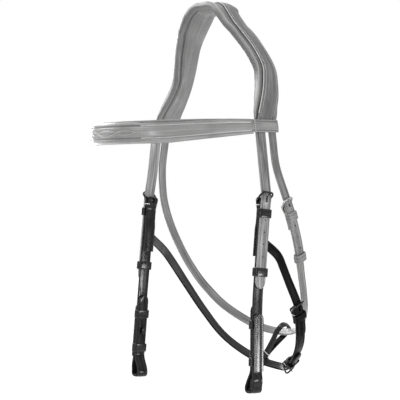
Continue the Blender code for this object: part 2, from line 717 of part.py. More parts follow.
def add_browband(group):
    """The strap with its end loops, folded round the crown's straps and lapped, and the padded front."""
    thick = BROWBAND_THICK
    strap_half = CROWN_STRAP_THICK / 2
    outer = THROAT_TOP_SPREAD + strap_half + BROWBAND_LOOP_PLAY + thick / 2
    inner = BILLET_TOP_SPREAD - strap_half - BROWBAND_LOOP_PLAY - thick / 2
    radius = (outer - inner) / 2
    corner = BROWBAND_CORNER
    rear = THROAT_TOP_Y + THROAT_WIDTH / 2 + BROWBAND_LOOP_END_PLAY + thick / 2
    billet_front = BILLET_TOP_Y - CHEEK_WIDTH / 2 - BROWBAND_LOOP_END_PLAY
    start = billet_front - radius - thick / 2
    lap = thick + SEAT_GAP
    lap_angles = np.linspace(math.asin(BROWBAND_LAP / BROWBAND_REACH), 0, 4)
    turns = np.radians(np.linspace(180, 90, 4))
    turn = corner * np.stack([np.cos(turns), np.sin(turns)], -1)
    leg_end = rear - corner
    end = np.vstack(
        [
            browband_front_curve(lap_angles, outer - lap, BROWBAND_REACH - lap, start),
            [((outer - lap + inner) / 2, (start + billet_front) / 2)],
            [(inner, y) for y in (billet_front, (billet_front + leg_end) / 2)],
            turn + [inner + corner, leg_end],
            (turn * [-1, 1])[::-1] + [outer - corner, leg_end],
            [(outer, y) for y in ((billet_front + leg_end) / 2, billet_front)],
        ]
    )
    bow = browband_front_curve(np.linspace(0, math.pi, 35), outer, BROWBAND_REACH, start)
    path = np.vstack([end, bow, (end * [-1, 1])[::-1]])
    rings = ribbon_rings(browband_place, path, BROWBAND_HEIGHT / 2, thick)
    add_piece("browband_strap", skin(rings), GREY_LEATHER, group)

    set_back = BROWBAND_FRONT_SET_BACK / BROWBAND_REACH
    angles = np.linspace(set_back, math.pi - set_back, 33)
    centre = browband_front_curve(angles, outer, BROWBAND_REACH, start)
    normal = -path_normals(centre)
    full = np.clip(np.sin(angles) * 1.35, 0, 1)[:, None]
    height = BROWBAND_FRONT_END_HEIGHT + (BROWBAND_FRONT_HEIGHT - BROWBAND_FRONT_END_HEIGHT) * full
    depth = BROWBAND_FRONT_THICK * (0.45 + 0.55 * full)
    ridges = np.array(browband_ridge_shares)
    back = ((0.45, 0.0), (-0.45, 0.0))
    section = np.vstack([ridges, back])
    up = height * section[:, 0] - (height - BROWBAND_HEIGHT) / 2
    away = thick / 2 + SEAT_GAP + depth * section[:, 1]
    across = centre[:, :1] + away * normal[:, :1]
    forward = centre[:, 1:] + away * normal[:, 1:]
    rings = browband_place(across, forward, up)
    add_piece("browband_front", skin(rings), GREY_LEATHER, group)


def add_billet(side, name, cheek, group):
    """One split end of the crown strap: it comes down to the cheek buckle and lies on the cheekpiece."""
    level = CHEEK_THICK / 2 + SEAT_GAP + BILLET_THICK / 2
    points = [
        (BILLET_TOP_SPREAD, BILLET_TOP_Y, -BROWBAND_LEVEL),
        (BILLET_KNEE_SPREAD, BILLET_KNEE_Y, -BILLET_KNEE_DROP),
    ]
    lengths = np.linspace(-CHEEK_FRAME_LENGTH / 2, billet_tip_share * cheek.length, 9)
    points += [tuple(cheek.place(along, level, 0)) for along in lengths]
    route = Route(smooth_curve(points, 12), side_outward)
    along, half = pointed(2 * SEAT_GAP, route.length, BILLET_TIP, CHEEK_WIDTH / 2)
    path = np.stack([along, 0 * along], -1)
    shape = skin(ribbon_rings(route.place, path, half, BILLET_THICK))
    piece = add_piece(name, shape, GREY_LEATHER, group, side=side)
    low, high = level - BILLET_THICK / 2, level + BILLET_THICK / 2
    bar_out = -(CHEEK_WIRE + SEAT_GAP + CHEEK_THICK / 2)
    room = prong_room(bar_out, CHEEK_WIRE, CHEEK_PRONG, low, high)
    slot = CHEEK_PRONG + PRONG_ROOM
    cut_box(piece, cheek.place, room, (low - CUT_OVERRUN, high + CUT_OVERRUN), (-slot, slot), side)


def cheek_path(cheek):
    """Side view of the cheekpiece's strap: from the end of its fold, over the bar, down, round the loop
    and up to the tip of its tail."""
    bar_out = -(CHEEK_WIRE + SEAT_GAP + CHEEK_THICK / 2)
    room_from = jaw_root_share * cheek.length - JAW_ROOT_ROOM
    room = JAW_ROOT_THICK + SEAT_GAP
    fold_back = fold_back_share * cheek.length
    top = fold_path(bar_out, CHEEK_THICK, CHEEK_WIRE, fold_back, FOLD_NECK, room_from, room)
    bottom = cheek.length - CHEEK_THICK / 2
    depth = LOOP_DEPTH - CHEEK_THICK
    corner = LOOP_CORNER
    down = [(along, 0) for along in stations(0, bottom - corner)[1:-1]]
    outer_turn = arc((bottom - corner, -corner), corner, 90, 180, 5).tolist()
    inner_turn = arc((bottom - corner, corner - depth), corner, 180, 270, 5).tolist()
    tight = -(CHEEK_THICK + SEAT_GAP)
    close = loop_close_share * cheek.length
    closing = []
    for share in (0.3, 0.5, 0.7, 0.85):
        ease = share * share * (3 - 2 * share)
        along = bottom - corner - (close - corner) * share
        closing.append((along, -depth + (depth + tight) * ease))
    body = top + down + outer_turn + inner_turn + closing
    tail_tip = tail_tip_share * cheek.length
    along, half = pointed(bottom - close, tail_tip, TAIL_TIP, CHEEK_WIDTH / 2)
    path = np.vstack([body, np.stack([along, 0 * along + tight], -1)])
    return path, np.concatenate([np.full(len(body), CHEEK_WIDTH / 2), half])


def add_cheekpiece(side, name, cheek, group):
    """A hackamore cheekpiece: its folded strap, stitched panel, keepers, buckle and hook stud."""
    half = CHEEK_WIDTH / 2
    face = CHEEK_THICK / 2
    path, widths = cheek_path(cheek)
    shape = skin(ribbon_rings(cheek.place, path, widths, CHEEK_THICK))
    strap = add_piece(name + "_cheek_strap", shape, BLACK_LEATHER, group, side=side)
    bar_out = -(CHEEK_WIRE + SEAT_GAP + face)
    slot = CHEEK_PRONG + PRONG_ROOM
    eye = CHEEK_WIRE + SEAT_GAP + 2 * CHEEK_PRONG + PRONG_ROOM
    depth = (2 * bar_out - face - CUT_OVERRUN, face + CUT_OVERRUN)
    cut_box(strap, cheek.place, (2 * bar_out - CUT_OVERRUN, eye), depth, (-slot, slot), side)

    panel_top = panel_top_share * cheek.length
    panel_end = panel_top + panel_length_share * cheek.length
    tip, width = pointed(panel_end, panel_top, PANEL_TIP, half)
    panel = np.stack([tip, 0 * tip + face + SEAT_GAP + PANEL_THICK / 2], -1)
    shape = skin(ribbon_rings(cheek.place, panel, width, PANEL_THICK))
    add_piece(name + "_cheek_panel", shape, BLACK_LEATHER, group, side=side)

    billet_top = face + SEAT_GAP + BILLET_THICK
    tail_back = -(face + SEAT_GAP + CHEEK_THICK)
    snug = half + SEAT_GAP
    for label, below, low, high, opens in (
        ("_upper_keeper", UPPER_KEEPER_BELOW_BAR, -face, billet_top + SEAT_GAP, "low"),
        ("_tail_keeper", tail_keeper_share * cheek.length, tail_back - SEAT_GAP, face, "high"),
        ("_low_keeper", low_keeper_share * cheek.length, tail_back - SEAT_GAP, face, "high"),
    ):
        shape = keeper_shape(cheek.place, below, KEEPER_HEIGHT, snug, low, high, opens)
        add_piece(name + label, shape, BLACK_LEATHER, group, side=side)
    below, reach = runner_share * cheek.length, half + RUNNER_PLAY
    low, high = -face - RUNNER_PLAY, billet_top + RUNNER_PLAY
    shape = keeper_shape(cheek.place, below, KEEPER_HEIGHT, reach, low, high)
    pivot = cheek.place(below, 0, 0)
    add_piece(name + "_cheek_runner", shape, BLACK_LEATHER, group, pivot=pivot, side=side)
    inner_half = half + FRAME_PLAY
    add_buckle(
        name + "_cheek",
        cheek.place,
        bar_out,
        inner_half,
        CHEEK_WIRE,
        CHEEK_FRAME_LENGTH,
        CHEEK_PRONG,
        DARK_METAL,
        group,
        side,
    )
    add_piece(name + "_hook_stud", stud_shape(cheek, tail_back - SEAT_GAP), DARK_METAL, group, side=side)


def stud_shape(cheek, seat):
    """A neck that widens into a low oval head."""
    neck, head = STUD_NECK_RADIUS, STUD_HEAD_THICK
    long_half, short_half = STUD_HEAD_LENGTH / 2, STUD_HEAD_WIDTH / 2
    profile = np.array(
        [
            (neck, neck, 0),
            (neck, neck, STUD_NECK_LENGTH),
            (0.92 * long_half, 0.88 * short_half, STUD_NECK_LENGTH),
            (long_half, short_half, STUD_NECK_LENGTH + head / 3),
            (0.8 * long_half, 0.75 * short_half, STUD_NECK_LENGTH + 0.8 * head),
            (0.4 * long_half, 0.35 * short_half, STUD_NECK_LENGTH + head),
        ]
    )
    turns = np.linspace(0, 2 * math.pi, 12, endpoint=False)
    along = stud_share * cheek.length + profile[:, :1] * np.cos(turns)
    across = profile[:, 1:2] * np.sin(turns)
    return skin(cheek.place(along, seat - profile[:, 2:], across))


def rising_path(start, end, tip, half_width, rise_from, rise_to, level):
    """A billet that starts on the line, rises to level between two places and ends in a point."""
    along, half = pointed(start, end, tip, half_width)
    share = np.clip((along - rise_from) / (rise_to - rise_from), 0, 1)
    return np.stack([along, level * share * share * (3 - 2 * share)], -1), half


def add_throat(group, throat):
    """The throat latch: the short left billet, and the long strap with the buckle and its keepers."""
    half, thick = THROAT_WIDTH / 2, THROAT_THICK
    face = thick / 2
    bar = THROAT_BAR_BELOW_TOP
    place = from_place(throat, bar)
    bar_out = -(THROAT_WIRE + SEAT_GAP + face)
    far_end = throat.length - bar - 2 * SEAT_GAP
    path = fold_path(bar_out, thick, THROAT_WIRE, THROAT_FOLD_BACK, FOLD_NECK, 0, 0)
    path += [(along, 0) for along in stations(0, far_end)[1:]]
    shape = skin(ribbon_rings(place, path, half, thick))
    strap = add_piece("throat_strap", shape, GREY_LEATHER, group)
    slot = THROAT_PRONG + PRONG_ROOM
    eye = THROAT_WIRE + SEAT_GAP + 2 * THROAT_PRONG + PRONG_ROOM
    depth = (2 * bar_out - face - CUT_OVERRUN, face + CUT_OVERRUN)
    cut_box(strap, place, (2 * bar_out - CUT_OVERRUN, eye), depth, (-slot, slot))

    level = thick + SEAT_GAP
    end = bar + THROAT_BILLET_BELOW_BAR
    risen = bar - THROAT_FRAME_LENGTH / 2
    path, width = rising_path(2 * SEAT_GAP, end, BILLET_TIP, half, bar / 3, risen, level)
    shape = skin(ribbon_rings(throat.place, path, width, thick))
    billet = add_piece("left_throat_billet", shape, GREY_LEATHER, group)
    low, high = level - face, level + face
    room = prong_room(bar_out, THROAT_WIRE, THROAT_PRONG, low, high)
    cut_box(billet, place, room, (low - CUT_OVERRUN, high + CUT_OVERRUN), (-slot, slot))

    below, reach, top = THROAT_KEEPER_BELOW_BAR, half + SEAT_GAP, high + SEAT_GAP
    shape = keeper_shape(place, below, KEEPER_HEIGHT, reach, -face, top, "low")
    add_piece("throat_keeper", shape, GREY_LEATHER, group)
    below, reach, top = THROAT_RUNNER_BELOW_BAR, half + RUNNER_PLAY, high + RUNNER_PLAY
    shape = keeper_shape(place, below, KEEPER_HEIGHT, reach, -face - RUNNER_PLAY, top)
    add_piece("throat_runner", shape, GREY_LEATHER, group, pivot=place(below, 0, 0))
    inner_half = half + FRAME_PLAY
    add_buckle(
        "throat",
        place,
        bar_out,
        inner_half,
        THROAT_WIRE,
        THROAT_FRAME_LENGTH,
        THROAT_PRONG,
        GREY_METAL,
        group,
    )


def add_jaw(group, jaw):
    """The jaw strap: a strap from each cheekpiece, and the centre piece with a buckle at each end."""
    half, thick = JAW_WIDTH / 2, JAW_THICK
    centre_half, centre_thick = JAW_CENTRE_WIDTH / 2, JAW_CENTRE_THICK
    face = centre_thick / 2
    bar_out = -(JAW_WIRE + SEAT_GAP + face)
    upper, lower = JAW_UPPER_BAR, jaw.length / 2 - JAW_LOWER_BAR_FROM_MIDDLE
    fold = np.array(fold_path(bar_out, centre_thick, JAW_WIRE, JAW_FOLD_BACK, FOLD_NECK, 0, 0))
    between = stations(upper, lower)[1:-1]
    body = np.stack([between, 0 * between], -1)
    path = np.vstack([fold + [upper, 0], body, (fold * [-1, 1] + [lower, 0])[::-1]])
    shape = skin(ribbon_rings(jaw.place, path, centre_half, centre_thick))
    centre = add_piece("jaw_centre_strap", shape, BLACK_LEATHER, group)
    slot = JAW_PRONG + PRONG_ROOM
    eye = JAW_WIRE + SEAT_GAP + 2 * JAW_PRONG + PRONG_ROOM
    level = face + SEAT_GAP + thick / 2
    low, high = level - thick / 2, level + thick / 2
    room = prong_room(bar_out, JAW_WIRE, JAW_PRONG, low, high)
    for name, bar, heading in (("left", upper, 1), ("right", lower, -1)):
        place = from_place(jaw, bar, heading)
        depth = (2 * bar_out - face - CUT_OVERRUN, face + CUT_OVERRUN)
        cut_box(centre, place, (2 * bar_out - CUT_OVERRUN, eye), depth, (-slot, slot))
        from_root = from_place(jaw, 0 if heading == 1 else jaw.length, heading)
        bar_from_root = bar if heading == 1 else jaw.length - bar
        end = bar_from_root + JAW_BILLET_BELOW_BAR
        risen = bar_from_root - JAW_FRAME_LENGTH / 3
        path, width = rising_path(0, end, BILLET_TIP, half, risen - JAW_BILLET_BELOW_BAR, risen, level)
        root = np.clip((path[:, 0] - CHEEK_WIDTH) / STATION_STEP, 0, 1)
        depths = JAW_ROOT_THICK + (thick - JAW_ROOT_THICK) * root
        shape = skin(ribbon_rings(from_root, path, width, depths))
        billet = add_piece(name + "_jaw_strap", shape, BLACK_LEATHER, group)
        cut_box(billet, place, room, (low - CUT_OVERRUN, high + CUT_OVERRUN), (-slot, slot))
        reach, top = centre_half + SEAT_GAP, high + SEAT_GAP
        below = JAW_KEEPER_BELOW_BAR
        shape = keeper_shape(place, below, JAW_KEEPER_HEIGHT, reach, -face, top, "low")
        add_piece(name + "_jaw_keeper", shape, BLACK_LEATHER, group)
        inner_half = centre_half + FRAME_PLAY
        add_buckle(
            name + "_jaw",
            place,
            bar_out,
            inner_half,
            JAW_WIRE,
            JAW_FRAME_LENGTH,
            JAW_PRONG,
            DARK_METAL,
            group,
        )


def strap_extent(route, along, width, thick, direction, link_axis):
    """How far a strap that runs through the connector loop reaches in this direction."""
    base = route.place(along, 0, 0)
    out = unit(route.place(along, SEAT_GAP, 0) - base)
    across = unit(route.place(along, 0, SEAT_GAP) - base)
    tangent = unit(route.place(along + SEAT_GAP, 0, 0) - base)
    spread = LINK_WIDTH / 2 * abs(tangent @ direction) / abs(tangent @ link_axis)
    return width / 2 * abs(across @ direction) + thick / 2 * abs(out @ direction) + spread


def squared_arc(start, end, reach):
    """Points (down, sideways) on an oval with flattened sides, between two angles in degrees."""
    turns = np.radians(np.linspace(start, end, 8))
    down = np.sign(np.cos(turns)) * np.abs(np.cos(turns)) ** 0.6
    sideways = np.abs(np.sin(turns)) ** 0.6
    return np.stack([reach[0] * down, reach[1] * sideways], -1)


def add_link(group, throat, jaw):
    """The connector: one loop round the throat latch and the jaw strap, nipped together between them."""
    throat_along = throat.length / 2
    right_half = jaw.along > jaw.length / 2
    jaw_along = jaw.along[right_half][np.argmin(np.abs(jaw.points[right_half, 0] + LINK_SHIFT))]
    top = throat.place(throat_along, 0, 0)
    bottom = jaw.place(jaw_along, 0, 0)
    length = np.linalg.norm(bottom - top)
    down = (bottom - top) / length
    axes = []
    for route, along in ((throat, throat_along), (jaw, jaw_along)):
        tangent = unit(route.place(along + SEAT_GAP, 0, 0) - route.place(along, 0, 0))
        axes.append(-unit(tangent - (tangent @ down) * down))
    reach = []
    straps = ((throat, throat_along, THROAT_WIDTH, THROAT_THICK), (jaw, jaw_along, JAW_WIDTH, JAW_THICK))
    for (route, along, width, thick), axis in zip(straps, axes):
        side = np.cross(down, axis)
        extents = [strap_extent(route, along, width, thick, way, axis) for way in (down, side)]
        reach.append([1.15 * extent + LINK_PLAY + LINK_THICK / 2 for extent in extents])
    upper = squared_arc(180, 75, reach[0])
    lower = squared_arc(115, 0, reach[1]) + [length, 0]
    neck_end = lower[0, 0] - LINK_NECK_LENGTH / 4
    neck_along = neck_end - LINK_NECK_LENGTH * np.array([1, 0.5, 0])
    neck = np.stack([neck_along, LINK_NECK_HALF * np.array([1.3, 1, 1.3])], -1)
    half = np.vstack([upper, neck, lower])
    path = np.vstack([half, (half * [1, -1])[1:-1][::-1]])
    share = np.clip(path[:, :1] / length, 0, 1)
    axis = unit((1 - share) * axes[0] + share * axes[1])
    side = np.cross(down, axis)
    normal = -path_normals(path, closed=True)
    face = np.full(len(path), LINK_THICK / 2)
    section = strap_section(np.full(len(path), LINK_WIDTH / 2), -face, face)
    travel = path[:, None, 0] + section[:, :, 1] * normal[:, None, 0]
    offset = path[:, None, 1] + section[:, :, 1] * normal[:, None, 1]
    rings = top + travel[..., None] * down + offset[..., None] * side[:, None]
    rings = rings + section[:, :, :1] * axis[:, None]
    add_piece("connector_loop", skin(rings, closed=True), BLACK_LEATHER, group, pivot=(top + bottom) / 2)


def main():
    for old in list(bpy.data.objects):
        bpy.data.objects.remove(old, do_unlink=True)
    cheek = cheek_route()
    jaw = jaw_route(cheek)
    throat = throat_route(jaw)
    headpiece = add_group("headpiece")
    add_crown(headpiece, crown_route())
    add_browband(add_group("browband", (0, 0, -BROWBAND_LEVEL)))
    for side, name in ((1, "left"), (-1, "right")):
        add_billet(side, name + "_cheek_billet", cheek, headpiece)
        group = add_group(name + "_cheekpiece", (side * CHEEK_BAR_SPREAD, CHEEK_BAR_Y, -CHEEK_BAR_DROP))
        add_cheekpiece(side, name, cheek, group)
    add_throat(add_group("throat_latch", (0, THROAT_TOP_Y, -BROWBAND_LEVEL)), throat)
    lowest = jaw.place(jaw.length / 2, 0, 0)
    under_jaw = add_group("jaw_strap", tuple(lowest))
    add_jaw(under_jaw, jaw)
    add_link(under_jaw, throat, jaw)


main()
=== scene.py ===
import math

import bmesh
import bpy
import numpy as np
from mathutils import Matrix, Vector


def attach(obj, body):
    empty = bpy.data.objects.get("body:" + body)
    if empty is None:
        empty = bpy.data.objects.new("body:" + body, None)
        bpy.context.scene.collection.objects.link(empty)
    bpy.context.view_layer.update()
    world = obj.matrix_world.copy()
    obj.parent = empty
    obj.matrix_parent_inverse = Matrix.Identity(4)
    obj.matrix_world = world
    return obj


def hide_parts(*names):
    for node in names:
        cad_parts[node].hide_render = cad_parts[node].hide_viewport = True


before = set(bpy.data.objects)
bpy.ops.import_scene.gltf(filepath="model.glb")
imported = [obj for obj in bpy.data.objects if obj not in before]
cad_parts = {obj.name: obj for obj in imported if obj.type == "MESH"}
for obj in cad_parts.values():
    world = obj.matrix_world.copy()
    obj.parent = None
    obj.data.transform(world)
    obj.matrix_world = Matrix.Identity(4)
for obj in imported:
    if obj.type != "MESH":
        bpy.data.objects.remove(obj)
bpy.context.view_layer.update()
print("frame loaded")

seat = 0.0003  # air between two pieces that lie on each other


def unitVectors(vectors):
    return vectors / np.linalg.norm(vectors, axis=-1, keepdims=True)


def smoothCurve(points, parts=24, closed=False):
    # Catmull-Rom: each span blends its two ends and their neighbours with cubic weights in t
    points = np.array(points, float)
    if closed:
        padded = np.vstack([points[-1:], points, points[:2]])
    else:
        padded = np.vstack([2 * points[0] - points[1], points, 2 * points[-1] - points[-2]])
    t = np.linspace(0, 1, parts, endpoint=False)[None, :, None]
    p0, p1, p2, p3 = (padded[k : len(padded) - 3 + k, None] for k in range(4))
    linear, square, cube = p2 - p0, 2 * p0 - 5 * p1 + 4 * p2 - p3, 3 * p1 - p0 - 3 * p2 + p3
    curve = (p1 + 0.5 * (linear * t + square * t**2 + cube * t**3)).reshape(-1, points.shape[1])
    return curve if closed else np.vstack([curve, points[-1:]])


def makeRoute(points, outward):
    # a line in space; at each point its tangent, and the outward direction squared up to that tangent
    points = np.array(points, float)
    along = np.concatenate([[0], np.cumsum(np.linalg.norm(np.diff(points, axis=0), axis=1))])
    tangent = unitVectors(np.gradient(points, along, axis=0))
    guide = outward(points)
    out = unitVectors(guide - (guide * tangent).sum(1, keepdims=True) * tangent)
    return dict(points=points, along=along, tangent=tangent, out=out, length=along[-1])


def placeOn(route, start=0.0, heading=1):
    # place(along, out, across) = route point + out * normal + across * side, straight on past the ends
    def place(along, out, across):
        along, out, across = np.broadcast_arrays(*(np.asarray(v, float) for v in (along, out, across)))
        along, across = start + heading * along, heading * across
        inside = np.clip(along, 0, route["length"])

        def read(key):
            return np.stack([np.interp(inside, route["along"], column) for column in route[key].T], -1)

        tangent, normal = unitVectors(read("tangent")), read("out")
        normal = unitVectors(normal - (normal * tangent).sum(-1, keepdims=True) * tangent)
        base = read("points") + (along - inside)[..., None] * tangent
        return base + out[..., None] * normal + across[..., None] * np.cross(normal, tangent)

    return place


def nearestAlong(route, point):
    return route["along"][np.argmin(np.linalg.norm(route["points"] - np.array(point), axis=1))]


def evenly(start, end, step=0.0025):
    return np.linspace(start, end, max(2, int(math.ceil(abs(end - start) / step)) + 1))


def arcPoints(centre, radius, start, end, count=20):
    # (along, out) = centre + radius * (-cos, sin): 0 degrees points back up the strap, 90 outwards
    angles = np.radians(np.linspace(start, end, count))
    return np.stack([centre[0] - radius * np.cos(angles), centre[1] + radius * np.sin(angles)], -1)


def pathNormals(path, closed=False):
    tangent = np.roll(path, -1, 0) - np.roll(path, 1, 0) if closed else np.gradient(path, axis=0)
    tangent = unitVectors(tangent)
    return np.stack([tangent[:, 1], -tangent[:, 0]], -1)


def strapSection(halfWidth, thickness, rounding=0.0008, dome=0.0002, crease=0.00016, creaseFrom=0.0021):
    # rounded oblong as (across, depth, rim): the outer face rises by dome to its middle, and a pressed line
    # of depth crease runs creaseFrom inside each edge; rim is 1 on cut edges, 0 on faces, below 0 in lines
    half = thickness / 2
    rounding = min(rounding, 0.48 * thickness, 0.45 * halfWidth)
    turn = np.radians(np.linspace(0, 90, 6))
    edgeAcross = halfWidth - rounding * (1 - np.cos(turn))
    edgeDepth = half - rounding * (1 - np.sin(turn))
    line = halfWidth - creaseFrom + np.array([0.0007, 0.0002, -0.0002, -0.0007])
    inner = np.linspace(0.8, 0, 4) * (halfWidth - creaseFrom - 0.0007)
    lineDepth = np.full(4, half) - crease * np.array([0, 1, 1, 0])
    rightAcross = np.concatenate([edgeAcross, line, inner])
    rightDepth = np.concatenate([edgeDepth, lineDepth, np.full(4, half)])
    rightRim = np.concatenate([1 - 0.75 * np.sin(turn) ** 2, np.sign(crease) * np.array([0, -0.8, -0.8, 0]), np.zeros(4)])
    rightDepth = rightDepth + dome * np.clip(1 - (rightAcross / line[3]) ** 2, 0, 1)
    top = [np.concatenate([a, s * a[:-1][::-1]]) for a, s in ((rightAcross, -1), (rightDepth, 1), (rightRim, 1))]
    backAcross = np.concatenate([-edgeAcross[1:], -0.5 * inner[:1], 0.5 * inner[:1], edgeAcross[1:][::-1]])
    backDepth = -np.concatenate([edgeDepth[1:], [half, half], edgeDepth[1:][::-1]])
    backRim = np.concatenate([rightRim[1:6], [0, 0], rightRim[1:6][::-1]])
    return np.concatenate([top[0], backAcross]), np.concatenate([top[1], backDepth]), np.concatenate([top[2], backRim])


def ribbonRings(place, path, widthShare, section, facing=-1):
    # rings of a strap whose side view is path: (along, out) + depth * path normal, across * widthShare; its
    # creased face turns outwards with facing -1 where the path runs down the strap, 1 where it runs up
    path = np.array(path, float)
    across, depth, rim = section
    share = np.broadcast_to(widthShare, len(path)).astype(float)[:, None]
    normal = facing * pathNormals(path)
    along = path[:, :1] + depth * normal[:, :1]
    out = path[:, 1:] + depth * normal[:, 1:]
    return place(along, out, across * share), np.broadcast_to(rim, along.shape)


def tipShares(count=12):
    # a rounded strap end: width share = sqrt(1 - s^3), s from 0 to nearly 1 along the tip
    s = 1 - (1 - np.linspace(0, 0.96, count)) ** 1.6 * 1.0
    s = s / s[-1] * 0.995
    return s, np.sqrt(1 - s**3)


def pointed(start, end, tip, step=0.0025):
    # distances along a strap from start to end and its width shares, the last of them its rounded tip
    s, share = tipShares()
    heading = 1 if end > start else -1
    body = evenly(start, end - heading * tip, step)[:-1]
    return np.concatenate([body, end - heading * tip * (1 - s)]), np.concatenate([np.ones(len(body)), share])


def meshPiece(name, points, faces, material, body, nodes=(), slotName=None, corners=None, rim=None, side=1):
    # one finished piece at the origin; side -1 mirrors it to the horse's right, then all faces turn outwards
    mesh = bpy.data.meshes.new(name)
    mesh.from_pydata((points * np.array([side, 1, 1])).tolist(), [], faces)
    if corners is not None:
        mesh.uv_layers.new(name="strapMap").data.foreach_set("uv", corners.ravel())
    layer = mesh.attributes.new("rim", "FLOAT", "POINT")
    layer.data.foreach_set("value", np.zeros(len(points)) if rim is None else np.asarray(rim, float).ravel())
    work = bmesh.new()
    work.from_mesh(mesh)
    bmesh.ops.recalc_face_normals(work, faces=work.faces)
    work.to_mesh(mesh)
    work.free()
    mesh.materials.append(material)
    mesh.shade_smooth()
    mesh.set_sharp_from_angle(angle=math.radians(60))
    piece = bpy.data.objects.new(name, mesh)
    bpy.context.scene.collection.objects.link(piece)
    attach(piece, body)
    if nodes:
        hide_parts(*nodes)
    return piece


def skinPiece(name, rings, rim=None, closed=False, **about):
    # point k of ring i joins k + 1 and ring i + 1; open ends are capped. The map is (metres along, round)
    count, size = rings.shape[:2]
    step = np.linalg.norm(np.diff(np.concatenate([rings, rings[:1]]), axis=0), axis=-1).mean(1)
    travel = np.concatenate([[0], np.cumsum(step)])
    wide = rings[count // 2]
    girth = np.concatenate([[0], np.cumsum(np.linalg.norm(np.roll(wide, -1, 0) - wide, axis=-1))])
    i = np.arange(count if closed else count - 1)[:, None]
    k = np.arange(size)[None]
    faces = np.stack([i * size + k, i * size + (k + 1) % size, (i + 1) % count * size + (k + 1) % size, (i + 1) % count * size + k], -1)
    corners = np.stack(np.broadcast_arrays(
        np.stack([travel[i], travel[i], travel[i + 1], travel[i + 1]], -1) + 0 * k[..., None],
        np.stack([girth[k], girth[k + 1], girth[k + 1], girth[k]], -1) + 0 * i[..., None],
    ), -1).reshape(-1, 2)
    faces = faces.reshape(-1, 4).tolist()
    if not closed:
        ends = [list(range(size)), list(range((count - 1) * size, count * size))]
        faces += ends
        for ring in (0, count - 1):
            corners = np.vstack([corners, np.stack([np.full(size, travel[ring]), girth[:-1]], -1)])
    return meshPiece(name, rings.reshape(-1, 3), faces, corners=corners, rim=rim, **about)


def beads(place, along, level, across, angle=0.0, length=0.0015, radius=0.00040):
    # stitches: s runs -1..1 down each, radius r * sqrt(1 - 0.95 s^4), sunk at its ends by r * s^4
    along, level, across, angle = (v[:, None, None] for v in np.broadcast_arrays(*(np.atleast_1d(np.asarray(v, float)) for v in (along, level, across, angle))))
    s = np.linspace(-1, 1, 7)[:, None]
    turn = np.radians(np.arange(0, 360, 60))
    thick = radius * np.sqrt(1 - 0.95 * s**4)
    forward, sideways = length / 2 * s, thick * np.cos(turn)
    lift = thick * np.sin(turn) + radius * (0.35 - 1.0 * s**4)
    return place(
        along + forward * np.cos(angle) - sideways * np.sin(angle),
        level + lift,
        across + forward * np.sin(angle) + sideways * np.cos(angle),
    )


def beadPiece(name, groups, **about):
    beadsHere = np.concatenate(groups)
    count, rows, sides = beadsHere.shape[:3]
    n = np.arange(count)[:, None, None] * rows * sides
    i = np.arange(rows - 1)[None, :, None]
    k = np.arange(sides)[None, None]
    quads = np.stack([n + i * sides + k, n + i * sides + (k + 1) % sides, n + (i + 1) * sides + (k + 1) % sides, n + (i + 1) * sides + k], -1)
    caps = np.concatenate([n[:, 0] + k[0], n[:, 0] + (rows - 1) * sides + k[0]])
    return meshPiece(name, beadsHere.reshape(-1, 3), quads.reshape(-1, 4).tolist() + caps.tolist(), **about)


def rodRings(world, radius, guide, closed=False, sides=14, flat=1.0):
    # a rod along world points: radius * (cos * first + flat * sin * second), both square to its direction
    world = np.array(world, float)
    radius = np.broadcast_to(radius, len(world)).astype(float)[:, None, None]
    tangent = unitVectors(np.roll(world, -1, 0) - np.roll(world, 1, 0) if closed else np.gradient(world, axis=0))
    first = unitVectors(np.cross(tangent, guide))[:, None]
    second = np.cross(tangent, first[:, 0])[:, None]
    turn = np.linspace(0, 2 * math.pi, sides, endpoint=False)[None, :, None]
    return world[:, None] + radius * (np.cos(turn) * first + flat * np.sin(turn) * second)


def cutSlots(piece, place, slots, side=1):
    # cuts round-ended holes, each (along low, along high, out low, out high, half width), out of the piece
    work = bmesh.new()
    for alongLow, alongHigh, outLow, outHigh, half in slots:
        turn = np.radians(np.arange(0, 360, 22.5) + 11.25)
        reach = max((alongHigh - alongLow) / 2 - half, 0)
        along = (alongLow + alongHigh) / 2 + half * np.cos(turn) + reach * np.sign(np.cos(turn))
        rings = np.stack([place(along, out, half * np.sin(turn)) for out in (outLow, outHigh)]) * np.array([side, 1, 1])
        low, high = ([work.verts.new(point) for point in ring] for ring in rings)
        for k in range(len(turn)):
            work.faces.new((low[k], low[k - 1], high[k - 1], high[k]))
        work.faces.new(low)
        work.faces.new(high[::-1])
    bmesh.ops.recalc_face_normals(work, faces=work.faces)
    mesh = bpy.data.meshes.new("slots")
    work.to_mesh(mesh)
    work.free()
    cutter = bpy.data.objects.new("slots", mesh)
    bpy.context.scene.collection.objects.link(cutter)
    modifier = piece.modifiers.new("slots", "BOOLEAN")
    modifier.operation, modifier.solver, modifier.object = "DIFFERENCE", "EXACT", cutter
    cut = bpy.data.meshes.new_from_object(piece.evaluated_get(bpy.context.evaluated_depsgraph_get()))
    piece.modifiers.clear()
    piece.data = cut
    cut.set_sharp_from_angle(angle=math.radians(50))
    bpy.data.objects.remove(cutter, do_unlink=True)


def nodeGroup(name, inputs, outputs):
    group = bpy.data.node_groups.new(name, "ShaderNodeTree")
    for label, kind, default in inputs:
        socket = group.interface.new_socket(name=label, in_out="INPUT", socket_type="NodeSocket" + kind)
        socket.default_value = default
    for label, kind in outputs:
        group.interface.new_socket(name=label, in_out="OUTPUT", socket_type="NodeSocket" + kind)
    return group, group.nodes.new("NodeGroupInput"), group.nodes.new("NodeGroupOutput")


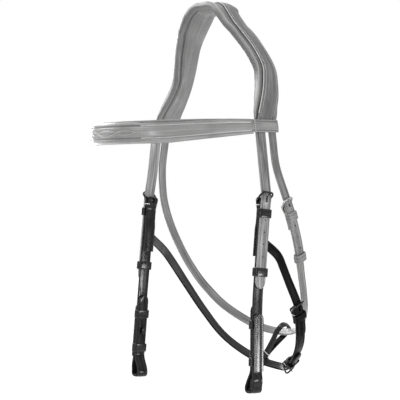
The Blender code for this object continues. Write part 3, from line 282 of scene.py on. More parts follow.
def wire(tree, kind, inputs=None, **settings):
    # adds a node: settings are its properties, inputs are values or sockets by name or number
    node = tree.nodes.new(kind)
    for key, value in settings.items():
        setattr(node, key, value)
    for key, value in (inputs or {}).items():
        if isinstance(value, bpy.types.NodeSocket):
            tree.links.new(value, node.inputs[key])
        else:
            node.inputs[key].default_value = value
    return node


def ramped(tree, value, low, high, toLow=0.0, toHigh=1.0):
    return wire(tree, "ShaderNodeMapRange", {0: value, 1: low, 2: high, 3: toLow, 4: toHigh}).outputs[0]


def mixed(tree, amount, first, second):
    node = wire(tree, "ShaderNodeMix", {0: amount, 6: first, 7: second}, data_type="RGBA")
    return node.outputs[2]


def maths(tree, operation, first, second):
    return wire(tree, "ShaderNodeMath", {0: first, 1: second}, operation=operation).outputs[0]


def leatherGroup():
    # colour = base, lightened by streaks that run with the strap, mottled; on its rims it turns to the rim colour,
    # partly edge wear and partly a painted edge highlight, and where rim is below 0 it darkens: pressed lines, and
    # painted shade in channels, grooves and valleys; height = pores + fine wrinkles + streaks
    tree, given, out = nodeGroup(
        "leatherFinish",
        [("Base", "Color", (0.2, 0.2, 0.2, 1)), ("Rim", "Color", (0.1, 0.1, 0.1, 1)), ("Rough", "Float", 0.45),
         ("Pores", "Float", 1100.0), ("Depth", "Float", 0.1), ("Streaks", "Float", 0.3), ("Wear", "Float", 0.3),
         ("Line", "Float", 0.5)],
        [("Color", "Color"), ("Roughness", "Float"), ("Normal", "Vector")],
    )
    give = given.outputs
    place = wire(tree, "ShaderNodeTexCoord").outputs["Object"]
    strap = wire(tree, "ShaderNodeUVMap", uv_map="strapMap").outputs[0]
    rim = wire(tree, "ShaderNodeAttribute", attribute_name="rim").outputs["Fac"]
    lengthwise = wire(tree, "ShaderNodeVectorMath", {0: strap, 1: (17, 460, 1)}, operation="MULTIPLY").outputs[0]
    streak = wire(tree, "ShaderNodeTexNoise", {"Vector": lengthwise, "Scale": 1.0, "Detail": 3.0}).outputs["Fac"]
    streak = ramped(tree, streak, 0.42, 0.62)
    mottle = wire(tree, "ShaderNodeTexNoise", {"Vector": place, "Scale": 55.0, "Detail": 4.0}).outputs["Fac"]
    pores = wire(tree, "ShaderNodeTexVoronoi", {"Vector": place, "Scale": give["Pores"]}).outputs["Distance"]
    wrinkle = wire(tree, "ShaderNodeTexNoise", {"Vector": place, "Scale": 620.0, "Detail": 3.0}).outputs["Fac"]
    lighter = mixed(tree, 0.5, give["Base"], (0.75, 0.75, 0.75, 1))
    body = mixed(tree, maths(tree, "MULTIPLY", streak, give["Streaks"]), give["Base"], lighter)
    shade = ramped(tree, mottle, 0.3, 0.7, 0.84, 1.16)
    body = wire(tree, "ShaderNodeVectorMath", {0: body, 3: shade}, operation="SCALE").outputs[0]
    # rims: edge wear and a painted edge highlight
    rimWearAndHighlight = maths(tree, "MULTIPLY", ramped(tree, wrinkle, 0.35, 0.65, 0.55, 1.0), maths(tree, "MAXIMUM", rim, 0.0))
    colour = mixed(tree, rimWearAndHighlight, body, give["Rim"])
    # below 0: pressed lines, and painted shade in channels, grooves and valleys
    linesAndPaintedShade = ramped(tree, rim, -1.0, 0.0, give["Line"], 1.0)
    colour = wire(tree, "ShaderNodeVectorMath", {0: colour, 3: linesAndPaintedShade}, operation="SCALE").outputs[0]
    rubbed = maths(tree, "MULTIPLY", ramped(tree, mottle, 0.52, 0.72), give["Wear"])
    rough = maths(tree, "ADD", give["Rough"], ramped(tree, wrinkle, 0.3, 0.7, -0.06, 0.06))
    rough = maths(tree, "SUBTRACT", rough, maths(tree, "MULTIPLY", rubbed, 0.4))
    height = maths(tree, "ADD", ramped(tree, pores, 0.0, 0.7), maths(tree, "MULTIPLY", wrinkle, 0.9))
    height = maths(tree, "ADD", height, maths(tree, "MULTIPLY", streak, 0.35))
    bump = wire(tree, "ShaderNodeBump", {"Strength": give["Depth"], "Distance": 0.0004, "Height": height})
    for key, socket in (("Color", colour), ("Roughness", rough), ("Normal", bump.outputs[0])):
        tree.links.new(socket, out.inputs[key])
    return tree


def threadGroup():
    # colour mottled by fibre; height = a fine twist, a wave slanted across the thread
    tree, given, out = nodeGroup(
        "threadFinish", [("Base", "Color", (0.7, 0.7, 0.68, 1)), ("Depth", "Float", 0.3)],
        [("Color", "Color"), ("Roughness", "Float"), ("Normal", "Vector")],
    )
    place = wire(tree, "ShaderNodeTexCoord").outputs["Object"]
    twist = wire(tree, "ShaderNodeTexWave", {"Vector": place, "Scale": 900.0, "Distortion": 3.0}, bands_direction="DIAGONAL")
    fibre = wire(tree, "ShaderNodeTexNoise", {"Vector": place, "Scale": 2400.0, "Detail": 2.0}).outputs["Fac"]
    shade = ramped(tree, fibre, 0.3, 0.7, 0.75, 1.1)
    colour = wire(tree, "ShaderNodeVectorMath", {0: given.outputs["Base"], 3: shade}, operation="SCALE").outputs[0]
    bump = wire(tree, "ShaderNodeBump", {"Strength": given.outputs["Depth"], "Distance": 0.0002, "Height": twist.outputs["Fac"]})
    rough = ramped(tree, fibre, 0.3, 0.7, 0.55, 0.75)
    for key, socket in (("Color", colour), ("Roughness", rough), ("Normal", bump.outputs[0])):
        tree.links.new(socket, out.inputs[key])
    return tree


def metalGroup():
    # colour lightened where rubbed; roughness rises in smudges; height = fine hair scratches
    tree, given, out = nodeGroup(
        "metalFinish", [("Base", "Color", (0.1, 0.1, 0.1, 1)), ("Rubbed", "Color", (0.4, 0.4, 0.4, 1)), ("Rough", "Float", 0.2)],
        [("Color", "Color"), ("Roughness", "Float"), ("Normal", "Vector")],
    )
    give = given.outputs
    place = wire(tree, "ShaderNodeTexCoord").outputs["Object"]
    smudge = wire(tree, "ShaderNodeTexNoise", {"Vector": place, "Scale": 260.0, "Detail": 4.0}).outputs["Fac"]
    stretched = wire(tree, "ShaderNodeMapping", {0: place, 2: (0.4, 0.7, 0.2), 3: (6.0, 1.0, 0.35)}).outputs[0]
    scratch = wire(tree, "ShaderNodeTexNoise", {"Vector": stretched, "Scale": 900.0, "Detail": 3.0}).outputs["Fac"]
    colour = mixed(tree, ramped(tree, smudge, 0.55, 0.8, 0.0, 0.5), give["Base"], give["Rubbed"])
    rough = maths(tree, "ADD", give["Rough"], ramped(tree, smudge, 0.4, 0.75, -0.04, 0.14))
    bump = wire(tree, "ShaderNodeBump", {"Strength": 0.06, "Distance": 0.0002, "Height": scratch})
    for key, socket in (("Color", colour), ("Roughness", rough), ("Normal", bump.outputs[0])):
        tree.links.new(socket, out.inputs[key])
    return tree


def groupMaterial(name, group, values, sockets):
    # a Principled shader fed by the group; values set the group's inputs, sockets the shader's own
    material = bpy.data.materials.new(name)
    material.use_nodes = True
    tree = material.node_tree
    shader = tree.nodes["Principled BSDF"]
    node = wire(tree, "ShaderNodeGroup", node_tree=group)
    for key, value in values.items():
        node.inputs[key].default_value = (value, value, value * 0.99, 1) if key in ("Base", "Rim", "Rubbed") else value
    for key, target in (("Color", "Base Color"), ("Roughness", "Roughness"), ("Normal", "Normal")):
        tree.links.new(node.outputs[key], shader.inputs[target])
    for key, value in sockets.items():
        shader.inputs[key].default_value = value
    return material


finishes = {
    "crownLeather": dict(Base=0.119, Rim=0.26, Rough=0.40, Pores=1000.0, Depth=0.09, Streaks=0.22, Wear=0.3, Line=0.55),
    "crownLining": dict(Base=0.160, Rim=0.46, Rough=0.32, Pores=800.0, Depth=0.12, Streaks=0.22, Wear=0.2, Line=0.35),
    "browLeather": dict(Base=0.215, Rim=0.30, Rough=0.30, Pores=1000.0, Depth=0.06, Streaks=0.25, Wear=0.3, Line=0.35),
    "billetLeather": dict(Base=0.099, Rim=0.30, Rough=0.34, Pores=1100.0, Depth=0.07, Streaks=0.65, Wear=0.3, Line=0.55),
    "throatLeather": dict(Base=0.113, Rim=0.25, Rough=0.36, Pores=1100.0, Depth=0.07, Streaks=0.40, Wear=0.3, Line=0.55),
    "blackLeather": dict(Base=0.004, Rim=0.012, Rough=0.15, Pores=1200.0, Depth=0.02, Streaks=0.03, Wear=0.2, Line=0.6),
    # the next four finishes are lit and shaded copies of blackLeather: the panel's and the jaw straps' inner face are
    # lighter and shinier, painted light; the cheek strap's and the jaw's are darker and duller, painted shade
    "panelLitBlackLeather": dict(Base=0.005, Rim=0.012, Rough=0.17, Pores=1200.0, Depth=0.02, Streaks=0.03, Wear=0.2, Line=0.6),
    "strapShadedBlackLeather": dict(Base=0.004, Rim=0.012, Rough=0.15, Pores=1200.0, Depth=0.02, Streaks=0.03, Wear=0.2, Line=0.6),
    "innerFaceLitBlackLeather": dict(Base=0.014, Rim=0.010, Rough=0.34, Pores=700.0, Depth=0.05, Streaks=0.10, Wear=0.2, Line=0.6),
    "jawShadedBlackLeather": dict(Base=0.003, Rim=0.008, Rough=0.30, Pores=1200.0, Depth=0.03, Streaks=0.03, Wear=0.2, Line=0.6),
}
# the specular levels of the black leather copies carry their painted light and shade
shine = dict(blackLeather=0.24, panelLitBlackLeather=0.40, strapShadedBlackLeather=0.17, innerFaceLitBlackLeather=0.26, jawShadedBlackLeather=0.025)  # the shader's specular level, 0.4 on the grey leathers
metals = {
    "darkMetal": dict(Base=0.022, Rubbed=0.07, Rough=0.20),
    "greyMetal": dict(Base=0.32, Rubbed=0.55, Rough=0.24),
}
leather, thread, metal = leatherGroup(), threadGroup(), metalGroup()
materials = {
    name: groupMaterial(name, leather, values, {"Specular IOR Level": shine.get(name, 0.4)})
    for name, values in finishes.items()
}
for name, values in metals.items():
    materials[name] = groupMaterial(name, metal, values, {"Metallic": 1.0})
materials["paleThread"] = groupMaterial("paleThread", thread, dict(Base=0.78, Depth=0.3), {"Specular IOR Level": 0.3})
# the cord's pale colour is a painted highlight along the crown strap's front edge
materials["seamCordHighlight"] = groupMaterial("seamCordHighlight", thread, dict(Base=0.62, Depth=0.2), {"Specular IOR Level": 0.4})
print("materials made")


def sideways(points):
    return np.tile([1.0, 0.0, 0.0], (len(points), 1))


def underHead(spread, backPower=1.0, downPower=1.0):
    # outward from the head: low = 1 - (x / spread)^2; sideways at the cheeks, back by 0.62 low^backPower
    # and down by 0.78 low^downPower under the jaw
    def outward(points):
        share = np.clip(np.abs(points[:, 0]) / spread, 0, 1)
        low = 1 - share**2
        return np.stack([np.sign(points[:, 0]) * share, 0.62 * low**backPower, -0.78 * low**downPower], -1)

    return outward


cheekLine = dict(width=0.0145, thick=0.0026, bar=(0.106, -0.014, -0.228), bend=(0.107, -0.0255, -0.344), end=(0.1125, -0.031, -0.447), ease=0.016)


def cheekRoute():
    # two straights joined by a quadratic curve, from the buckle bar to the bottom of the end loop
    top, bend, end = (np.array(cheekLine[key]) for key in ("bar", "bend", "end"))
    before = bend - cheekLine["ease"] * unitVectors(bend - top)
    after = bend + cheekLine["ease"] * unitVectors(end - bend)
    t = np.linspace(0, 1, 33)[:, None]
    return makeRoute(np.vstack([top, (1 - t) ** 2 * before + 2 * t * (1 - t) * bend + t**2 * after, end]), sideways)


crownSizes = dict(drop=0.1406, spread=0.0926, sweep=0.0157, width=0.044, strapThick=0.0026, padThick=0.007, padEndThick=0.0032, padEndRise=0.0024, roll=0.0024, pollStraight=0.012, level=0.1415)
# spread, sweep and drop of the crown, then half of the pad's width and the strap's front and rear edges
crownRows = np.array([
    (0.238, -0.04, 0.023, 0.462, -0.08, 0.42), (0.316, -0.06, 0.074, 0.452, -0.10, 0.41),
    (0.437, 0.06, 0.176, 0.435, -0.13, 0.390), (0.526, 0.26, 0.247, 0.41, -0.14, 0.36),
    (0.651, 0.55, 0.355, 0.380, -0.13, 0.325), (0.746, 0.83, 0.462, 0.362, -0.12, 0.315),
    (0.822, 1.00, 0.571, 0.350, -0.13, 0.315), (0.869, 0.90, 0.679, 0.355, -0.15, 0.32),
    (0.921, 0.65, 0.786, 0.370, -0.19, 0.33), (0.964, 0.32, 0.893, 0.39, -0.24, 0.325),
    (1.000, 0.06, 1.000, 0.415, -0.33, 0.236),
])
billetTop = dict(spread=0.0957, y=-0.0116, kneeSpread=0.1031, kneeY=-0.0121, kneeDrop=0.190)


def crownRoute():
    sizes = crownSizes
    rows = crownRows[:, :3] * [sizes["spread"], sizes["sweep"], -sizes["drop"]] + [0, 0, sizes["padThick"]]
    foot = (billetTop["spread"] - sizes["strapThick"] / 2 - seat, rows[-1][1], -sizes["level"])
    straight = [(x, 0.0, sizes["padThick"]) for x in (sizes["pollStraight"], sizes["pollStraight"] / 2)]
    left = np.vstack([[foot], rows[::-1], straight])
    points = smoothCurve(np.vstack([left * [-1, 1, 1], [(0.0, 0.0, sizes["padThick"])], left[::-1]]), 12)
    return makeRoute(points, lambda p: np.stack([p[:, 0], 0 * p[:, 1], p[:, 2] + sizes["drop"]], -1))


crown = crownRoute()
crownMarks = [nearestAlong(crown, row) for row in crownRows[::-1, :3] * [-crownSizes["spread"], crownSizes["sweep"], -crownSizes["drop"]] + [0, 0, crownSizes["padThick"]]]
crownMiddle = crown["length"] / 2
crownPadEnd = crownMarks[0] + 0.0006


crownDroop = dict(depth=0.0060, away=(-0.002, 0.018, 0.032, 0.080))


def crownPlace(along, out, across):
    # the crown's own coordinates, slid along the line near its ends so that each layer ends level; at each
    # shoulder the rear edge droops by depth * (across / half the width)^2
    along, out, across = np.broadcast_arrays(*(np.asarray(v, float) for v in (along, out, across)))
    place = placeOn(crown)
    shoulder = np.interp(np.abs(along - crownMiddle), crownDroop["away"], (0, 1, 1, 0))
    shoulder = shoulder * shoulder * (3 - 2 * shoulder)
    out = out - crownDroop["depth"] * shoulder * np.clip(2 * across / crownSizes["width"], 0, 1.1) ** 2
    base = place(along, 0, 0)
    rise = (place(along + seat, 0, 0) - base)[..., 2] / seat
    fromEnd = np.minimum(along, crown["length"] - along) - crownPadEnd
    weight = np.clip(1 - fromEnd / crownSizes["width"], 0, 1) ** 2
    high = (place(along, out, across) - base)[..., 2]
    return place(along - weight * high / np.where(weight > 0, rise, 1), out, across)


crownKnown = np.concatenate([crownMarks, [crownMiddle - crownSizes["pollStraight"], crownMiddle + crownSizes["pollStraight"]], 2 * crownMiddle - np.array(crownMarks)[::-1]])
crownTable = crownSizes["width"] * np.vstack([crownRows[::-1, 3:], [(0.485, -0.06, 0.44)] * 2, crownRows[:, 3:]])


def crownWidths(along):
    return [np.interp(along, crownKnown, column)[:, None] for column in crownTable.T]


padShape = dict(
    step=0.003, seamGap=0.0006, seamDepth=0.0007, fineness=4,
    # the third number paints the padding: below 0 painted shade under the front edge and in the underside groove, above
    # 0 a lighter rear edge, edge wear with a painted highlight
    outline=(  # shares of half the width and of the depth, with how dark the line there is
        (-1.00, -0.45, -0.6), (-0.93, -0.85, -0.3), (-0.80, -1.00, 0.0), (-0.68, -0.80, -0.1), (-0.60, -0.62, -0.6),
        (-0.52, -0.84, -0.1), (-0.36, -1.00, 0.0), (0.0, -1.03, 0.0), (0.42, -1.00, 0.0), (0.84, -0.78, 0.0),
        (0.96, -0.50, 0.5), (0.99, -0.24, 0.8), (0.96, -0.06, 0.4),
    ),
)


def crownPadding():
    # closed section: the table's underside and rear edge, flat under the strap, then the front roll
    along = evenly(crownPadEnd, 2 * crownMiddle - crownPadEnd, padShape["step"])
    half, front, rear = crownWidths(along)
    fromEnd = np.minimum(along - along[0], along[-1] - along)[:, None]
    full = np.clip(1.6 * fromEnd / crownSizes["width"], 0, 1)
    half = half * (0.93 + 0.07 * np.clip(fromEnd / 0.009, 0, 1))
    depth = crownSizes["padEndThick"] + (crownSizes["padThick"] - crownSizes["padEndThick"]) * full
    shape = np.array(padShape["outline"])
    seam = front - seat - padShape["seamGap"]
    roll = crownSizes["roll"] * full
    across = [half * shape[:, 0], rear, (rear + front) / 2, front, seam, seam - padShape["seamDepth"]]
    across += [seam + share * (-half - seam) for share in (0.28, 0.55, 0.80, 0.94)]
    out = [depth * shape[:, 1], *[0 * seam - seat] * 3, *[share * roll for share in (0.45, 0.50, 0.50, 0.66, 1.0, 0.75)]]
    # painted shade in the valley at the seam, and a painted highlight with some edge wear along the roll's crest
    dark = np.concatenate([shape[:, 2], [0, 0, 0, -0.15, -0.15, -0.1, 0.0, 0.9, 0.3]])[:, None]
    stacked = zip(np.hstack(across), np.hstack(out))
    fine = np.stack([smoothCurve(np.hstack([a[:, None], o[:, None], dark]), padShape["fineness"], closed=True) for a, o in stacked])
    rings = crownPlace(along[:, None], fine[..., 1], fine[..., 0])
    piece = skinPiece("crownPadding", rings, rim=fine[..., 2], material=materials["crownLining"], body="headpiece", nodes=["crown_pad"], slotName="grey_lining")


crownStrapLook = dict(pitch=0.0024, rearRow=0.0026, frontRow=0.0030, cordRadius=0.0006, cordLevel=0.0026)


def crownStrapEdges(along):
    _, front, rear = crownWidths(along)
    above = np.clip(np.minimum(along, 2 * crownMiddle - along) / crownMarks[0], 0, 1)[:, None]
    footY = crown["points"][0, 1]
    front = above * front + (1 - above) * (billetTop["y"] - cheekLine["width"] / 2 - footY)
    rear = above * rear + (1 - above) * (throatLine["topY"] + throatLine["width"] / 2 - footY)
    return front, rear


def crownStrap():
    # a flat strap on the pad: rounded edges, a pressed line behind each edge
    along = np.concatenate([evenly(0, crownPadEnd)[:-1], evenly(crownPadEnd, 2 * crownMiddle - crownPadEnd, 0.003), 2 * crownMiddle - evenly(0, crownPadEnd)[::-1][1:]])
    front, rear = crownStrapEdges(along)
    half = (rear - front) / 2
    thick = crownSizes["strapThick"]
    across, depth, rim = strapSection(0.012, thick, rounding=0.0009, dome=0.0003, crease=0.0003, creaseFrom=0.0024)
    fromEdge = np.where(across > 0, 0.012 - across, 0.012 + across)
    inner = np.abs(across) < 0.009
    wide = np.where(inner, across / 0.009 * (half - 0.003), np.sign(across) * (half - fromEdge))
    level = seat + thick / 2 + depth
    rings = crownPlace(along[:, None], np.broadcast_to(level, wide.shape), (rear + front) / 2 + wide)
    skinPiece("crownStrap", rings, rim=np.broadcast_to(rim, wide.shape), material=materials["crownLeather"], body="headpiece", nodes=["crown_strap"], slotName="grey_leather")
    look, top = crownStrapLook, seat + thick
    marks = evenly(crownPadEnd + 0.004, 2 * crownMiddle - crownPadEnd - 0.004, look["pitch"])
    front, rear = (v[:, 0] for v in crownStrapEdges(marks))
    rows = [beads(crownPlace, marks, top - 0.0001, rear - look["rearRow"]), beads(crownPlace, marks, top - 0.0001, front + look["frontRow"])]
    beadPiece("crownStitching", rows, material=materials["paleThread"], body="headpiece", slotName="grey_leather")
    # the seam cord lies in the valley between the padding's roll and the strap's front edge; its pale colour is a
    # painted highlight along that edge
    along = evenly(crownPadEnd + 0.006, 2 * crownMiddle - crownPadEnd - 0.006, 0.0025)
    front = crownStrapEdges(along)[0][:, 0]
    world = crownPlace(along, look["cordLevel"], front - look["cordRadius"])
    outward = crownPlace(along, look["cordLevel"] + seat, front) - crownPlace(along, look["cordLevel"], front)
    skinPiece("crownSeamHighlightCord", rodRings(world, look["cordRadius"], outward, sides=8), material=materials["seamCordHighlight"], body="headpiece", slotName="grey_leather")


throatLine = dict(width=0.011, thick=0.0023, spread=0.1142, topY=0.0055, reach=0.1067, drop=0.2508, level=0.1415)
throatRows = np.array([
    (0.850, 0.000, 0.000), (0.880, -0.007, 0.070), (0.925, -0.006, 0.189), (0.975, 0.049, 0.309), (1.000, 0.112, 0.389),
    (0.996, 0.183, 0.469), (0.973, 0.261, 0.548), (0.930, 0.343, 0.628), (0.868, 0.436, 0.708), (0.787, 0.548, 0.787),
    (0.631, 0.721, 0.887), (0.340, 0.925, 0.976), (0.000, 1.000, 1.000),
])


def throatRoute():
    line = throatLine
    left = throatRows * [line["spread"], line["reach"], -line["drop"]] + [0, line["topY"], -line["level"]]
    points = np.vstack([left, left[:-1][::-1] * [-1, 1, 1]])
    return makeRoute(smoothCurve(points), underHead(line["spread"] * throatRows[0][0]))


jawLine = dict(width=0.011, thick=0.0024, spread=0.1056, reach=0.1214, drop=0.1585, root=0.048, rootThick=0.0009, centreWidth=0.013, centreThick=0.003, turnsInside=0.0055, turnsBack=2.5, turnsDown=0.6)
jawRows = np.array([
    (1.000, 0.154, 0.091), (0.975, 0.250, 0.186), (0.920, 0.413, 0.375), (0.842, 0.568, 0.565), (0.690, 0.706, 0.754),
    (0.486, 0.820, 0.880), (0.236, 0.930, 0.970), (0.000, 1.000, 1.000),
])


def jawRoute(cheek):
    line = jawLine
    seam = -(cheekLine["thick"] / 2 + seat + line["rootThick"] / 2)
    place = placeOn(cheek)
    root = place(line["root"], seam, cheekLine["width"] / 2)
    inside = place(line["root"] - line["width"] / 2, seam, 0)
    rows = jawRows * [line["spread"], line["reach"], -line["drop"]] + [0, root[1], root[2]]
    left = np.vstack([inside, root, rows])
    return makeRoute(smoothCurve(np.vstack([left, left[:-1][::-1] * [-1, 1, 1]])), underHead(line["spread"] - line["turnsInside"], line["turnsBack"], line["turnsDown"]))


cheek, throat = cheekRoute(), throatRoute()
jaw = jawRoute(cheek)
browSizes = dict(level=0.1415, height=0.0145, thick=0.0022, reach=0.137, play=0.001, endPlay=0.0009, corner=0.0023, lap=0.021, frontHeight=0.0262, frontEndHeight=0.0165, frontThick=0.0052, setBack=0.004, dip=0.0027, trim=0.03)
browLean = (billetTop["kneeSpread"] - billetTop["spread"]) / (billetTop["kneeDrop"] - browSizes["level"])
throatSpread = throatLine["spread"] * throatRows[0][0]
browOuter = throatSpread + crownSizes["strapThick"] / 2 + browSizes["play"] + browSizes["thick"] / 2
browInner = billetTop["spread"] - crownSizes["strapThick"] / 2 - browSizes["play"] - browSizes["thick"] / 2
browRear = throatLine["topY"] + throatLine["width"] / 2 + browSizes["endPlay"] + browSizes["thick"] / 2
browFrontOfBillet = billetTop["y"] - cheekLine["width"] / 2 - browSizes["endPlay"]
browStart = browFrontOfBillet - (browOuter - browInner) / 2 - browSizes["thick"] / 2


def browbandPlace(across, forward, up):
    # the browband's own coordinates: narrowed upwards by its lean, lower by dip * (forward / reach)^2, and
    # drawn back by the share trim * forward / reach
    share = forward / browSizes["reach"]
    lean = across * (1 - browLean * up / billetTop["spread"])
    back = forward * (1 - browSizes["trim"] * np.abs(share))
    return np.stack([lean, back, up - browSizes["level"] - browSizes["dip"] * share**2], -1)


def bowPoints(angles, spread, reach):
    return np.stack([spread * np.cos(angles), browStart - reach * np.sin(angles)], -1)


def browbandStrap():
    # side view from above: a half ellipse, with each end folded in a rounded oblong and lapped inside
    sizes = browSizes
    lap, corner = sizes["thick"] + seat, sizes["corner"]
    turn = np.radians(np.linspace(180, 90, 12))
    turn = corner * np.stack([np.cos(turn), np.sin(turn)], -1)
    legEnd = browRear - corner
    legs = np.linspace(browFrontOfBillet, legEnd, 6)[:-1]
    easing = smoothCurve([
        bowPoints(0.02, browOuter - lap, sizes["reach"] - lap), ((browOuter - lap + browInner) / 2, (browStart + browFrontOfBillet) / 2), (browInner, browFrontOfBillet)], 6)[1:-1]
    end = np.vstack([
        bowPoints(np.linspace(math.asin(sizes["lap"] / sizes["reach"]), 0.02, 8), browOuter - lap, sizes["reach"] - lap),
        easing, [(browInner, y) for y in legs], turn + [browInner + corner, legEnd],
        (turn * [-1, 1])[::-1] + [browOuter - corner, legEnd], [(browOuter, y) for y in legs[::-1]],
    ])
    bow = bowPoints(np.linspace(0, math.pi, 121), browOuter, sizes["reach"])
    path = np.vstack([end, bow, (end * [-1, 1])[::-1]])
    section = strapSection(sizes["height"] / 2, sizes["thick"], crease=0.0002, dome=0.0003)
    rings, rim = ribbonRings(browbandPlace, path, 1.0, section)
    skinPiece("browbandStrap", rings, rim=rim, material=materials["browLeather"], body="browband", nodes=["browband_strap"], slotName="grey_leather")


ridgeShape = np.array([
    (-0.50, 0.25), (-0.478, 0.62), (-0.435, 0.88), (-0.38, 0.97), (-0.32, 0.88), (-0.288, 0.68), (-0.262, 0.56),
    (-0.236, 0.68), (-0.19, 0.88), (-0.10, 0.98), (0.0, 1.0), (0.10, 0.98), (0.20, 0.88), (0.244, 0.68), (0.270, 0.56),
    (0.296, 0.68), (0.33, 0.88), (0.385, 0.95), (0.435, 0.86), (0.478, 0.60), (0.50, 0.25),
])
browSetBack = browSizes["setBack"] / browSizes["reach"]
browAngles = np.linspace(browSetBack, math.pi - browSetBack, 600)
browTravel = np.concatenate([[0], np.cumsum(np.linalg.norm(np.diff(bowPoints(browAngles, browOuter, browSizes["reach"]), axis=0), axis=1))])


def browFrontSizes(along):
    angle = np.interp(along, browTravel, browAngles)
    full = np.clip(np.sin(angle) * 1.35, 0, 1)
    height = browSizes["frontEndHeight"] + (browSizes["frontHeight"] - browSizes["frontEndHeight"]) * full
    return angle, height, browSizes["frontThick"] * (0.45 + 0.55 * full)


def browFrontPlace(along, out, across):
    # along the bow, out from the strap's face, and up as a share of the padding's height there
    along, out, across = np.broadcast_arrays(*(np.asarray(v, float) for v in (along, out, across)))
    angle, height, _ = browFrontSizes(along)
    centre = bowPoints(angle, browOuter, browSizes["reach"])
    normal = unitVectors(np.stack([np.cos(angle) / browOuter, -np.sin(angle) / browSizes["reach"]], -1))
    spot = centre + (browSizes["thick"] / 2 + seat + out)[..., None] * normal
    return browbandPlace(spot[..., 0], spot[..., 1], height * across - (height - browSizes["height"]) / 2)


browFront = dict(
    step=0.0016, pitch=0.0024, channels=(0.270, -0.262), channelShadeWidth=0.016, fineness=7,
    crossAt=0.0160, crossEnd=0.0400, wide=0.0038, narrow=0.0028, groove=0.0009, grooveWidth=0.0007, pillow=0.0005,
    curl=0.0050, curlFrom=0.31, curlHeight=0.020, flatten=0.80, topDrop=0.10, dropFrom=(0.036, 0.052), rowFrom=0.046,
    lapStitches=6, lapRow=0.0010,
)


def crossedSeams(along):
    # half the gap of two crossing seams: a cosine arch in the middle, then a sine arch at each side
    look = browFront
    away = np.abs(along - browTravel[-1] / 2)
    inner = look["wide"] * np.cos(math.pi / 2 * away / look["crossAt"])
    outer = -look["narrow"] * np.sin(math.pi * (away - look["crossAt"]) / (look["crossEnd"] - look["crossAt"]))
    return np.where(away < look["crossAt"], inner, outer), away < look["crossEnd"]


def browbandPadding():
    # three padded ridges between sewn channels, from the ridge table drawn smooth; the middle ridge is
    # lowered by groove * exp(-(distance to a crossed seam / width)^2) and swells between the two seams;
    # where the padding is taller than the strap its edges curl back round it, by curl * share^1.6
    look = browFront
    along = evenly(0, browTravel[-1], look["step"])
    _, height, depth = (v[:, None] for v in browFrontSizes(along))
    outline = np.vstack([ridgeShape, [(0.46, 0.0), (0.31, 0.0), (0.0, 0.0), (-0.31, 0.0), (-0.46, 0.0)]])
    outline = smoothCurve(outline, look["fineness"], closed=True)
    up, rise = outline[None, :, 0], np.maximum(outline[None, :, 1], 0) * depth * look["flatten"]
    gap, crossed = (v[:, None] for v in crossedSeams(along))
    offset = up * height
    nearSeam = np.minimum(np.abs(offset - gap), np.abs(offset + gap))
    middle = crossed * (np.abs(up) < 0.22) * (rise > 0.3 * depth)
    rise = rise - middle * look["groove"] * np.exp(-((nearSeam / look["grooveWidth"]) ** 2))
    rise = rise + middle * look["pillow"] * np.clip(1 - (offset / np.maximum(np.abs(gap), 1e-5)) ** 2, 0, 1)
    # painted shade: the padding darkens in its two channels, along the crossed seams and on its curled top and bottom
    # edges
    line = 0.75 * sum(np.exp(-(((up - channel) / look["channelShadeWidth"]) ** 2)) for channel in look["channels"])
    line = line + np.clip((np.abs(up) - 0.455) / 0.03, 0, 1) + 0.7 * middle * np.exp(-((nearSeam / look["grooveWidth"]) ** 2))
    tall = np.clip((height - look["curlHeight"]) / (browSizes["frontHeight"] - look["curlHeight"]), 0, 1)
    curled = np.clip((np.abs(up) - look["curlFrom"]) / (0.5 - look["curlFrom"]), 0, 1) ** 1.6
    rise = rise - look["curl"] * tall * curled
    away = np.abs(along - browTravel[-1] / 2)[:, None]
    drop = look["topDrop"] * np.interp(away, look["dropFrom"], (0, 1)) * np.interp(height, (look["curlHeight"], browSizes["frontHeight"]), (0, 1))
    up = up - drop * np.clip((up - 0.27) / 0.23, 0, 1)
    rings = browFrontPlace(along[:, None], rise, up + 0 * depth)
    piece = skinPiece("browbandPadding", rings, rim=-np.clip(line + 0 * depth, 0, 1), material=materials["browLeather"], body="browband", nodes=["browband_front"], slotName="grey_leather")
    rows = []
    marks = evenly(0.004, browTravel[-1] - 0.004, look["pitch"])
    marks = marks[np.abs(marks - browTravel[-1] / 2) > look["rowFrom"]]
    depth = browFrontSizes(marks)[2]
    for channel in look["channels"]:
        level = np.interp(channel, *ridgeShape.T) * depth * look["flatten"] + 0.0007
        rows.append(beads(seamPlace(channel), marks, level, 0.0, length=0.0018, radius=0.00065))
    marks = evenly(browTravel[-1] / 2 - look["crossEnd"], browTravel[-1] / 2 + look["crossEnd"], look["pitch"])
    gap, slope = crossedSeams(marks)[0], np.gradient(crossedSeams(marks)[0], marks)
    depth = browFrontSizes(marks)[2] * 0.97 * look["flatten"] - look["groove"] + 0.0005
    rows += [beads(seamPlace(0.0), marks, depth, sign * gap, angle=np.arctan(sign * slope)) for sign in (-1, 1)]
    ups = np.linspace(-0.40, 0.40, look["lapStitches"]) * browSizes["height"]
    for side in (-1, 1):
        rows.append(beads(lapPlace(side), browStart + look["lapRow"], 0.0002, ups, angle=math.pi / 2))
    beadPiece("browbandStitching", rows, material=materials["paleThread"], body="browband", slotName="grey_leather")


def seamPlace(channel):
    # metres up and down from a level that is a share of the padding's height
    return lambda along, out, up: browFrontPlace(along, out, channel + up / browFrontSizes(along)[1])


def lapPlace(side):
    # on the outer face of the browband's strap, where its end loop is sewn down
    face = browOuter + browSizes["thick"] / 2
    return lambda forward, out, up: browbandPlace(side * (face + out), forward, up)


print("routes drawn")
crownPadding()
crownStrap()
browbandStrap()
browbandPadding()
print("crown and browband made")


